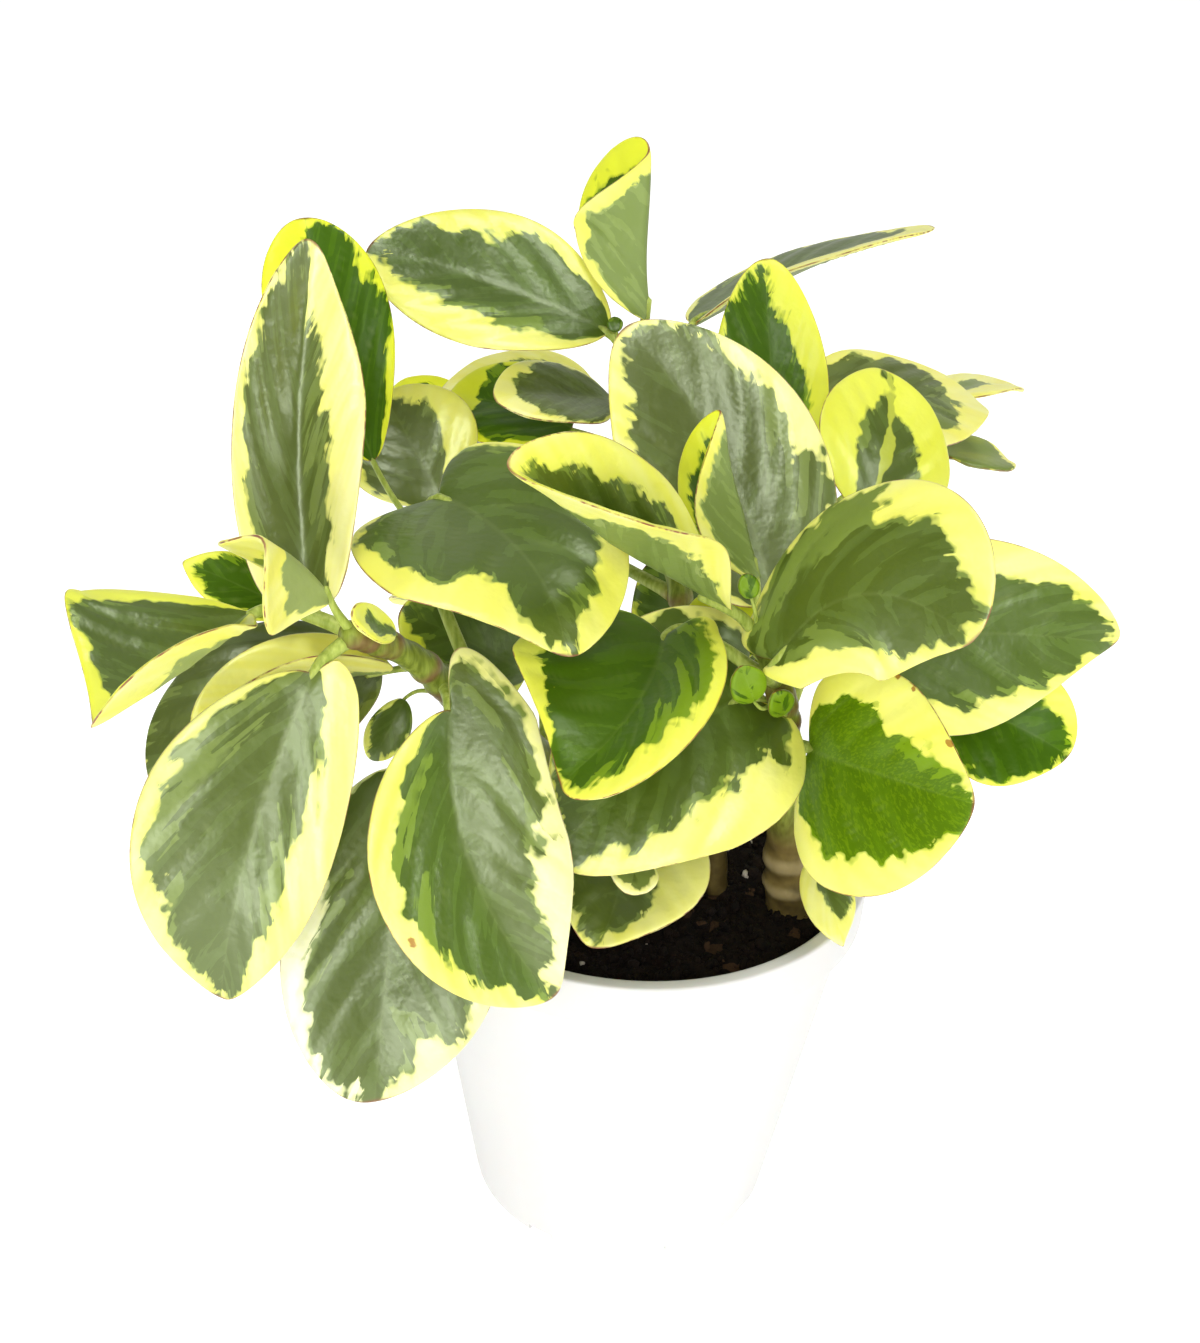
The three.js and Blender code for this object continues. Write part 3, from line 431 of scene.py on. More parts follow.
        base=(-36, 44, 156), tip=(-64, 86, 128), face=(-0.4, 0.5, 0.8), width=40, bend=30, heart=0.2,
    ),
}


# ---------------------------------------------------------------- curves
def unit(vector):
    return vector / np.linalg.norm(vector)


def spaced(line, steps):
    """The points that cut a line into equal steps."""
    line = np.array(line, float)
    runs = np.concatenate([[0], np.cumsum(np.linalg.norm(np.diff(line, axis=0), axis=1))])
    wanted = np.linspace(0, runs[-1], steps + 1)
    return np.stack([np.interp(wanted, runs, line[:, axis]) for axis in range(3)], axis=1)


def through(points, steps, fine=40):
    """A smooth line through points, cut into equal steps: the centripetal Catmull-Rom curve."""
    points = [np.array(point, float) for point in points]
    points = [2 * points[0] - points[1], *points, 2 * points[-1] - points[-2]]
    line = []
    for p0, p1, p2, p3 in zip(points, points[1:], points[2:], points[3:]):
        d0, d1, d2 = (math.sqrt(np.linalg.norm(q - p)) for p, q in ((p0, p1), (p1, p2), (p2, p3)))
        leave = ((p1 - p0) / d0 - (p2 - p0) / (d0 + d1) + (p2 - p1) / d1) * d1
        arrive = ((p2 - p1) / d1 - (p3 - p1) / (d1 + d2) + (p3 - p2) / d2) * d1
        t = np.linspace(0, 1, fine, endpoint=False)[:, None]
        line.append((2 * t**3 - 3 * t**2 + 1) * p1 + (t**3 - 2 * t**2 + t) * leave
                    + (3 * t**2 - 2 * t**3) * p2 + (t**3 - t**2) * arrive)
    line.append(points[-2][None])
    return spaced(np.concatenate(line), steps)


def bezier(p0, p1, p2, p3, steps, fine=60):
    """A cubic Bezier curve, cut into equal steps."""
    t = np.linspace(0, 1, fine)[:, None]
    return spaced((1 - t)**3 * p0 + 3 * t * (1 - t)**2 * p1 + 3 * t**2 * (1 - t) * p2 + t**3 * p3, steps)


def length_of(line):
    return np.linalg.norm(np.diff(line, axis=0), axis=1).sum()


# ---------------------------------------------------------------- making meshes
def mesh_from(bm, name):
    """The bmesh as a new mesh. The bmesh is freed."""
    mesh = bpy.data.meshes.new(name)
    bm.to_mesh(mesh)
    bm.free()
    return mesh


def object_from(data, name):
    made = bpy.data.objects.new(name, data)
    bpy.context.scene.collection.objects.link(made)
    return made


def piece_from(mesh, materials, node):
    """A finished piece that stands for a CAD node."""
    for material in materials:
        mesh.materials.append(material)
    for polygon in mesh.polygons:
        polygon.use_smooth = True
    piece = object_from(mesh, "visual_" + node)
    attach(piece, "root")
    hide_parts(node)


def write(mesh, name, *values):
    """Stores up to three values for each vertex, for the materials to read."""
    table = np.zeros((len(mesh.vertices), 3))
    for column, value in enumerate(values):
        table[:, column] = value
    mesh.attributes.new(name, "FLOAT_VECTOR", "POINT").data.foreach_set("vector", table.ravel())


def tube(bm, line, radii, sides):
    """A round bar along a line, closed where its radius is 0. Returns its vertices, ring by ring."""
    tangents = np.gradient(line, axis=0)
    tangents /= np.linalg.norm(tangents, axis=1)[:, None]
    across = unit(np.cross(tangents[0], OFF_AXIS))
    angles = np.linspace(0, 2 * math.pi, sides, endpoint=False)
    rings = []
    for centre, tangent, radius in zip(line, tangents, radii):
        across = unit(across - across.dot(tangent) * tangent)
        other = np.cross(tangent, across)
        rings.append([
            bm.verts.new(centre + radius * (math.cos(angle) * across + math.sin(angle) * other))
            for angle in angles
        ])
    for lower, upper in zip(rings, rings[1:]):
        for k in range(sides):
            j = (k + 1) % sides
            bm.faces.new((lower[k], lower[j], upper[j], upper[k]))
    return rings


# ---------------------------------------------------------------- leaves
def disc(a, b):
    """A place on a square, as a place on a round disc."""
    return a * np.sqrt(1 - b * b / 2), b * np.sqrt(1 - a * a / 2)


def blade(leaf, a, b, lift):
    """Points of a blade. a runs from -1 at the petiole to 1 at the tip, b from -1 at the right margin
    to 1 at the left, and lift is the height above the middle of its thickness."""
    base = np.array(leaf["base"], float)
    along = np.array(leaf["tip"], float) - base
    length = np.linalg.norm(along)
    along = along / length
    face = np.array(leaf["face"], float)
    up = unit(face - face.dot(along) * along)
    left = np.cross(up, along)

    x, y = disc(a, b)
    back = np.maximum(0, -x)
    front = np.maximum(0, x)
    side = np.sign(y)
    half = leaf["width"] / 2 * (1 + leaf["lean"] * side)
    across = (np.abs(y) * half * (1 + leaf["egg"] * x) * (1 - leaf["wedge"] * back**2)
              * (1 - leaf["point"] * front**3))
    lobe = leaf["heart"] * (1 + leaf["ear"] * side) * np.abs(y) * back
    u = (x + 1) / 2 - lobe + leaf["skew"] * y * front

    fold = math.radians(leaf["fold"])
    bend = math.radians(leaf["bend"])
    arc = length / (2 * math.sin(bend / 2))
    pitch = bend / 2 - bend * u
    inside = np.clip(u, 0, 1)
    turn = math.radians(leaf["twist"]) * (u - 0.5)
    yaw = np.arctan2(leaf["sweep"] * 4 * (1 - 2 * inside), length)

    def mix(first, first_share, second, second_share):
        return first * np.asarray(first_share)[..., None] + second * np.asarray(second_share)[..., None]

    tangent = mix(along, np.cos(pitch), up, np.sin(pitch))
    normal = mix(along, -np.sin(pitch), up, np.cos(pitch))
    leftward = mix(left, np.cos(turn), normal, np.sin(turn))
    upward = mix(left, -np.sin(turn), normal, np.cos(turn))
    outward = mix(leftward, np.cos(yaw), tangent, -np.sin(yaw))

    spread = np.hypot(across, KEEL)
    rise = math.sin(fold) * (spread - KEEL)
    lean_in = math.sin(fold) * across / spread
    middle = base + mix(along, arc * (math.sin(bend / 2) - np.sin(pitch)),
                        up, arc * (np.cos(pitch) - math.cos(bend / 2)))
    middle = middle + left * (leaf["sweep"] * 4 * inside * (1 - inside))[..., None]
    return (middle + outward * (side * (across * math.cos(fold) - lift * lean_in))[..., None]
            + upward * (rise + lift * np.sqrt(1 - lean_in**2))[..., None])


def leaf_sheets(cells_along, cells_across):
    """A flat closed slab: an upper and a lower sheet that meet at the edge, at z 1 and -1."""
    bm = bmesh.new()
    bmesh.ops.create_grid(bm, x_segments=cells_along, y_segments=cells_across, size=1)
    lower = bmesh.ops.duplicate(bm, geom=bm.verts[:] + bm.edges[:] + bm.faces[:])["geom"]
    lower_faces = [item for item in lower if isinstance(item, bmesh.types.BMFace)]
    bmesh.ops.reverse_faces(bm, faces=lower_faces)
    for face in lower_faces:
        face.material_index = 1
    lower_verts = {item for item in lower if isinstance(item, bmesh.types.BMVert)}
    for vert in bm.verts:
        x, y, _ = vert.co
        on_edge = max(abs(x), abs(y)) > 1 - TOUCHING
        height = 0 if on_edge else -1 if vert in lower_verts else 1
        vert.co = (math.sin(x * math.pi / 2), math.sin(y * math.pi / 2), height)
    bmesh.ops.remove_doubles(bm, verts=bm.verts[:], dist=TOUCHING)
    return mesh_from(bm, "blade")


def growth(leaf):
    """1 for a leaf that is fully grown, and less for a smaller one."""
    return min(1, leaf["width"] / 2 / GROWN_HALF_WIDTH)


def on_veins(x, y, rise, bow):
    """Where along the midrib the arching line through a place starts."""
    return x - rise * np.abs(y)**bow


def leaf_relief(leaf, x, y, radius, chance):
    """How far the middle of the blade stands above or below a plain one, and how near a side vein is:
    1 along it and 0 between two."""
    first, second, third = (chance.uniform(0, 2 * math.pi) for _ in range(3))
    vein = on_veins(x, y, VEIN_RISE, VEIN_BOW)
    inner = np.clip(4 * np.abs(y) * (1 - radius), 0, 1)
    between_veins = np.abs(np.sin(math.pi * vein * VEIN_COUNT / 2 + first))
    dome = RELIEF["dome"] * (np.hypot(y, RELIEF["valley"]) - RELIEF["valley"]) * (1 - radius)
    puff = RELIEF["puff"] * (between_veins**0.7 - 0.6) * inner
    roll = RELIEF["roll"] * np.sin(3.4 * x + second) * np.cos(2.6 * y + third) * (1 - radius**2)
    angle = np.arctan2(y, x)
    wave = radius**4 * (RELIEF["long_wave"] * np.sin(3 * angle + first)
                        + RELIEF["short_wave"] * np.sin(5 * angle + second))
    return growth(leaf) * (dome + puff + roll + wave), np.exp(-(between_veins / VEIN_WIDTH)**2) * inner


def both_halves(values):
    """A row of values for each half. One number stands for a whole row, and one row for both."""
    rows = np.atleast_2d(values)
    return rows[0], rows[-1]


def blade_mesh(leaf, chance):
    """A leaf's blade, with all that its material needs written on it."""
    seed = chance.uniform(0, 50)
    green = leaf["green"]
    if green is None:
        green = [[chance.uniform(0.6, 0.9) for _ in range(5)] for _ in range(2)]
    dark = leaf["dark"]
    if dark is None:
        dark = [[reach - chance.uniform(0.03, 0.2) for reach in half] for half in both_halves(green)]

    length = np.linalg.norm(np.array(leaf["tip"], float) - leaf["base"])
    half = leaf["width"] / 2
    size = growth(leaf)
    mesh = leaf_sheets(int(np.clip(length, 16, 66)), 2 * int(np.clip(leaf["width"] * 0.6, 6, 30)))
    flat = np.zeros(len(mesh.vertices) * 3)
    mesh.vertices.foreach_get("co", flat)
    a, b, sheet = flat.reshape(-1, 3).T
    x, y = disc(a, b)
    edge = np.maximum(np.abs(a), np.abs(b))
    radius = np.hypot(x, y)
    u = (x + 1) / 2

    # The blade's thickness, its rounded margin, and its midrib: a groove above and a ridge below.
    thick = BLADE_THICKNESS / 2 * np.sqrt(np.maximum(0, 1 - edge**10))
    from_midrib = np.abs(y) * half
    groove = -MIDRIB["groove"] * size * np.exp(-(from_midrib / MIDRIB["groove_width"])**2) * (1 - 0.7 * u)
    ridge = -MIDRIB["ridge"] * np.exp(-(from_midrib / MIDRIB["ridge_width"])**2) * (1 - u)**1.5
    lift, crease = leaf_relief(leaf, x, y, radius, chance)
    lift = lift + np.where(sheet > 0, thick + groove, -thick + ridge)
    mesh.vertices.foreach_set("co", np.ravel(blade(leaf, a, b, lift)) * MM)

    # Lengths on the leaf are millimetres, and a small leaf's pattern is as much smaller.
    scale = max(0.5, size)
    station = on_veins(x, y, STATION_RISE, STATION_BOW)
    share = np.where(x > 0, radius, np.abs(y) / np.sqrt(np.maximum(1 - np.minimum(x, 0)**2, 1e-6)))

    def reach(values):
        right, left = (np.interp(station, np.linspace(*STATION_ENDS, len(row)), row)
                       for row in both_halves(values))
        return (np.where(y > 0, left, right) - share) * half / scale

    # A tone is one number, or one for the right half and one for the left. The tones are partly painted
    # light: sheen, light through the leaf, and glare on the margin.
    vivid_and_backlit, lime_glow_and_glare = (np.interp(y, (-0.15, 0.15), np.broadcast_to(leaf[tone], 2)) for tone in ("vivid_and_backlit", "lime_glow_and_glare"))
    spots = [np.hypot((x - at_x) * length / 2, (y - at_y) * half) / wide
             for at_x, at_y, wide in leaf["spots"]]
    near_spot = np.min([*spots, np.full_like(x, NO_SPOT)], axis=0)
    vein = on_veins(x, y, VEIN_RISE, VEIN_BOW)
    write(mesh, "vein", vein * length / 2 / scale, y * half / scale, seed)
    write(mesh, "reach", reach(green), reach(dark), (1 - edge) * half / size)
    write(mesh, "tone", vivid_and_backlit, lime_glow_and_glare, u)
    write(mesh, "marks", near_spot, leaf["fleck"], leaf["bare"])
    write(mesh, "side_vein_and_highlight", crease * np.minimum(1, np.abs(y) * 6))
    return mesh


def leaf_piece(name, leaf, stem_line, chance):
    """One leaf, its blade and petiole joined, as its own piece."""
    mesh = blade_mesh(leaf, chance)
    bm = bmesh.new()
    bm.from_mesh(mesh)
    bark = bm.verts.layers.float_vector.new("bark")
    line, radii = petiole(leaf, stem_line)
    rings = tube(bm, line * MM, radii * MM, PETIOLE["sides"])
    for k, ring in enumerate(rings):
        for vert in ring:
            vert[bark] = (math.exp(-(k / len(rings) / PETIOLE["reddened"])**2), 0, 1)
    bm.verts.index_update()
    ring_verts = {vert for ring in rings for vert in ring}
    for face in bm.faces:
        if face.verts[0] in ring_verts:
            face.material_index = 2
    bmesh.ops.remove_doubles(bm, verts=[*rings[0], *rings[-1]], dist=MERGING)
    bm.to_mesh(mesh)
    bm.free()
    mesh.update()
    piece_from(mesh, LEAF_MATERIALS, name)


def axil(leaf, stem_line):
    """Where a leaf leaves its stem, as a share of the stem's length."""
    if leaf["at"] is not None:
        return leaf["at"]
    length = length_of(stem_line)
    samples = spaced(stem_line, int(length))
    distances = np.linalg.norm(samples - np.array(leaf["base"], float), axis=1)
    nearest = int(distances.argmin())
    along = (nearest - PETIOLE["drop"] * distances[nearest]) / length
    return float(np.clip(along, PETIOLE["lowest"], PETIOLE["highest"]))


def petiole(leaf, stem_line):
    """The petiole's line and radii: from the middle of the stem to the blade, and on under its midrib."""
    thick = float(np.clip(leaf["width"] * PETIOLE["width_share"], PETIOLE["thinnest"], PETIOLE["thickest"]))
    inside, edge = (-1 + 2 * PETIOLE["under_blade"], -PETIOLE["sink"]), (-1, -PETIOLE["sink"] / 3)
    under, root = (blade(leaf, np.array([at]), np.array([0.0]), np.array([lift]))[0]
                   for at, lift in (inside, edge))
    start = spaced(stem_line, 400)[round(400 * axil(leaf, stem_line))]
    before = root - unit(under - root) * PETIOLE["straight"] * np.linalg.norm(root - start)
    path = bezier(start, (start + before) / 2, before, root, 4)
    line = through([*path, under], 26)
    t = np.linspace(0, 1, len(line))
    swelling = 1 + PETIOLE["swelling"] * np.exp(-(t / PETIOLE["swelling_end"])**2)
    radii = thick * (1 + (PETIOLE["taper"] - 1) * t) * swelling
    radii[0] = radii[-1] = 0
    return line, radii


# ---------------------------------------------------------------- stems
def ease(s):
    return s * s * (3 - 2 * s)


def stem_piece(name, stem, leaves, chance):
    """One stem: it thins to its tip, and swells into a ring wherever a leaf leaves it."""
    line = through(stem["points"], 160)
    length = length_of(line)
    foot, middle, tip = stem["radii"]
    t = np.linspace(0, 1, len(line))
    radii = np.where(t < 0.5, foot + (middle - foot) * ease(np.clip(t * 2, 0, 1)),
                     middle + (tip - middle) * ease(np.clip(t * 2 - 1, 0, 1)))
    joints = sorted(axil(leaf, line) for leaf in leaves.values())
    joints += list(np.arange(SCARS["first"], joints[0] - SCARS["clear"], SCARS["gap"]))
    knot = np.max([np.exp(-((t - joint) * length / RING_WIDTH)**2) for joint in joints], axis=0)
    radii = radii * (1 + RING_SWELLING * knot - STEM_WAVE * np.sin(t * length / WAVE_LENGTH))
    radii[0] = radii[-1] = 0
    radii[-2] *= 0.6
    old = np.clip((OLD_SHARE - t) / OLD_FADE, 0, 1)
    bm = bmesh.new()
    bark = bm.verts.layers.float_vector.new("bark")
    rings = tube(bm, line * MM, radii * MM, STEM_SIDES)
    for k, ring in enumerate(rings):
        for vert in ring:
            lump = noise.noise(vert.co * LUMPS_PER_METRE) * LUMP_HEIGHT * MM
            vert.co += (vert.co - Vector(line[k] * MM)).normalized() * lump if radii[k] else Vector()
            vert[bark] = (knot[k], old[k], 0)
    bmesh.ops.remove_doubles(bm, verts=bm.verts[:], dist=MERGING)
    bmesh.ops.recalc_face_normals(bm, faces=bm.faces[:])
    piece_from(mesh_from(bm, name), [fleshy_stem], name)
    return line


# ---------------------------------------------------------------- pot and soil
def wall_radius(z):
    """The outside of the pot's wall at a height."""
    top_radius = POT["rim_radius"] - POT["rim_step"]
    return POT["base_radius"] + (top_radius - POT["base_radius"]) * z / POT["height"]


def inner_radius(z):
    return wall_radius(z) - POT["wall"]


def turned(profile, sides):
    """A closed round body, spun from a profile that starts and ends on the axis."""
    bm = bmesh.new()
    verts = [bm.verts.new((radius * MM, 0, z * MM)) for radius, z in profile]
    edges = [bm.edges.new(pair) for pair in zip(verts, verts[1:])]
    bmesh.ops.spin(bm, geom=verts + edges, cent=(0, 0, 0), axis=(0, 0, 1), angle=2 * math.pi, steps=sides,
                   use_merge=True)
    bmesh.ops.remove_doubles(bm, verts=bm.verts[:], dist=10 * MERGING)
    bmesh.ops.recalc_face_normals(bm, faces=bm.faces[:])
    return bm


def rounded(corner, before, after, radius, steps=4):
    """The corner of a profile, taken off by an arc."""
    corner, before, after = (np.array(point, float) for point in (corner, before, after))
    start = corner + unit(before - corner) * radius
    end = corner + unit(after - corner) * radius
    shares = np.linspace(0, 1, steps + 1)
    return [tuple((1 - s)**2 * start + 2 * s * (1 - s) * corner + s * s * end) for s in shares]


def pot_body():
    """The pot without its drains: tapered wall, rim band and floor."""
    top = POT["height"]
    band = top - POT["rim_drop"]
    floor_top = POT["floor"]
    # Each corner's radius and height, and how far it is rounded.
    corners = [
        (POT["base_radius"], 0, 1.2),
        (wall_radius(band), band, 0.4),
        (POT["rim_radius"] - 0.4, band + 0.6, 0.5),
        (POT["rim_radius"], top, 0.9),
        (inner_radius(top), top, 0.9),
        (inner_radius(floor_top), floor_top, 2.5),
    ]
    points = [(0, 0), *[(radius, z) for radius, z, _ in corners], (0, floor_top)]
    inside_drains = POT["base_radius"] - DRAIN["length"] - DRAIN["hole_radius"] - 2
    profile = [(0, 0), (inside_drains, 0)]
    for k, (radius, z, fillet) in enumerate(corners):
        profile += rounded((radius, z), points[k], points[k + 2], fillet)
    profile += [(inside_drains, floor_top), (0, floor_top)]
    return turned(profile, POT["sides"])


def drain_cutter():
    """What is cut from the pot: channels under its foot, each with a hole at its inner end."""
    bm = bmesh.new()
    size = Vector((DRAIN["length"] * 2, DRAIN["width"], DRAIN["height"] * 2))
    for k in range(DRAIN["count"]):
        angle = math.radians(DRAIN["first_angle"] + k * 360 / DRAIN["count"])
        outward = Vector((math.cos(angle), math.sin(angle), 0))
        channel = bmesh.ops.create_cube(bm, size=1)["verts"]
        bmesh.ops.scale(bm, vec=size * MM, verts=channel)
        bmesh.ops.rotate(bm, verts=channel, matrix=Matrix.Rotation(angle, 3, "Z"))
        bmesh.ops.translate(bm, vec=outward * POT["base_radius"] * MM, verts=channel)
        hole = bmesh.ops.create_cone(
            bm, cap_ends=True, segments=24, radius1=DRAIN["hole_radius"] * MM,
            radius2=DRAIN["hole_radius"] * MM, depth=POT["floor"] * 4 * MM)["verts"]
        bmesh.ops.translate(bm, vec=outward * (POT["base_radius"] - DRAIN["length"]) * MM, verts=hole)
    return bm


def pot_piece():
    """The moulded pot, with its drains cut out of it."""
    pot = object_from(mesh_from(pot_body(), "pot"), "pot_blank")
    cutter = object_from(mesh_from(drain_cutter(), "drains"), "drains")
    cut = pot.modifiers.new("drains", "BOOLEAN")
    cut.operation = "DIFFERENCE"
    cut.solver = "EXACT"
    cut.use_self = True
    cut.object = cutter
    bpy.context.view_layer.update()
    finished = bpy.data.meshes.new_from_object(pot.evaluated_get(bpy.context.evaluated_depsgraph_get()))
    bpy.data.objects.remove(pot)
    bpy.data.objects.remove(cutter)
    finished.materials.clear()
    piece_from(finished, [moulded_polypropylene], "pot")
    finished.set_sharp_from_angle(angle=math.radians(35))


def soil_radius(z):
    return inner_radius(z) - SOIL["clearance"]


def soil_body(rim):
    """A filled pot's worth of mix, crowned in the middle, its surface uneven."""
    base = POT["floor"] + SOIL["clearance"]
    shoulder = SOIL["top"] - SOIL["shoulder"]
    profile = [(0, base), (soil_radius(base), base), (soil_radius(shoulder), shoulder)]
    profile += [(rim * share, SOIL["top"] + SOIL["crown"] * (1 - share**2) - SOIL["sunk"])
                for share in np.linspace(1, 0, SOIL["rings"])]
    bm = turned(profile, SOIL["sides"])
    for vert in bm.verts:
        place = vert.co / MM
        if place.z > SOIL["top"] - 3:
            reach = math.hypot(place.x, place.y) / rim
            lumps = (noise.fractal(place / SOIL["lump_size"], 0.7, 2.1, 4) * SOIL["lump_height"]
                     + noise.noise(place / SOIL["grain_size"]) * SOIL["grain_height"])
            vert.co.z += (lumps - 0.6) * MM * min(1, (1 - reach) * 12 + 0.3)
    return bm


def loose_lumps(rim, ground_at, chance):
    """Crumbs and perlite as one mesh, each a lump of its own that is stretched, turned and dented."""
    lump_bm = bmesh.new()
    bmesh.ops.create_icosphere(lump_bm, subdivisions=1, radius=1)
    lump = np.array([vert.co for vert in lump_bm.verts])
    lump_faces = np.array([[vert.index for vert in face.verts] for face in lump_bm.faces])
    lump_bm.free()
    corners, faces, kinds = [], [], []
    for count, smallest, largest, kind in CRUMBS:
        for _ in range(count):
            reach = rim * math.sqrt(chance.random()) * 0.985
            angle = chance.uniform(0, 2 * math.pi)
            x, y, size = reach * math.cos(angle), reach * math.sin(angle), chance.uniform(smallest, largest)
            shape = lump * size * [chance.uniform(0.7, 1.3), chance.uniform(0.7, 1.3), chance.uniform(0.5, 1)]
            shape *= [[chance.uniform(0.75, 1.2)] for _ in lump]
            shape = shape @ np.array(Euler([chance.uniform(0, 2 * math.pi) for _ in range(3)]).to_matrix())
            faces.append(lump_faces + len(lump) * len(corners))
            corners.append(shape + (x, y, ground_at(x, y) - 0.35 + chance.uniform(-0.6, 0.5) * size))
            kinds += [kind] * len(lump_faces)
    loose = bpy.data.meshes.new("crumbs")
    loose.from_pydata(np.concatenate(corners) * MM, [], np.concatenate(faces).tolist())
    loose.polygons.foreach_set("material_index", kinds)
    return loose


def soil_piece(chance):
    """The potting mix, under a layer of loose crumbs."""
    rim = soil_radius(SOIL["top"])
    bm = soil_body(rim)
    heights = {}

    def cell(x, y):
        return round(x / SOIL["cell"]), round(y / SOIL["cell"])

    def ground_at(x, y):
        return heights.get(cell(x, y), SOIL["top"])

    for vert in bm.verts:
        x, y, z = (value / MM for value in vert.co)
        if z > SOIL["top"] - 5:
            heights[cell(x, y)] = max(heights.get(cell(x, y), 0), z)
    loose = loose_lumps(rim, ground_at, chance)
    bm.from_mesh(loose)
    bpy.data.meshes.remove(loose)
    piece_from(mesh_from(bm, "soil"), [peat_mix, perlite], "soil")


# ---------------------------------------------------------------- materials
def linear(hex_colour):
    """An sRGB hex colour as linear red, green, blue and alpha."""
    values = [int(hex_colour[k:k + 2], 16) / 255 for k in (1, 3, 5)]
    return (*[v / 12.92 if v <= 0.04045 else ((v + 0.055) / 1.055)**2.4 for v in values], 1)


def add(tree, kind, *inputs, output=0, **settings):
    """Adds one shader node with its settings, and returns one of its outputs. Its inputs are links or
    values, in the node's own order or in a dict by name or number."""
    made = tree.nodes.new("ShaderNode" + kind)
    for name, value in settings.items():
        setattr(made, name, value)
    by_name = inputs[0] if inputs and isinstance(inputs[0], dict) else dict(enumerate(inputs))
    for name, value in by_name.items():
        if isinstance(value, bpy.types.NodeSocket):
            tree.links.new(value, made.inputs[name])
        else:
            made.inputs[name].default_value = value
    return made.outputs[output]


def blank(name, **values):
    """A new material, its nodes and its Principled shader, with values set straight on its sockets."""
    material = bpy.data.materials.new(name)
    material.use_nodes = True
    shader = material.node_tree.nodes["Principled BSDF"]
    for socket, value in values.items():
        shader.inputs[socket.replace("_", " ")].default_value = value
    return material, material.node_tree, shader


def coated(tree, colour, *coats):
    """A colour under thin coats of others. Each coat is how far it covers those below, and its colour."""
    for cover, coat in coats:
        colour = add(tree, "Mix", {0: cover, 6: colour, 7: coat}, output=2, data_type="RGBA")
    return colour


def written(tree, name):
    """The three values of what was written on the mesh."""
    vector = add(tree, "Attribute", output="Vector", attribute_name=name)
    return [add(tree, "SeparateXYZ", vector, output=axis) for axis in "XYZ"]


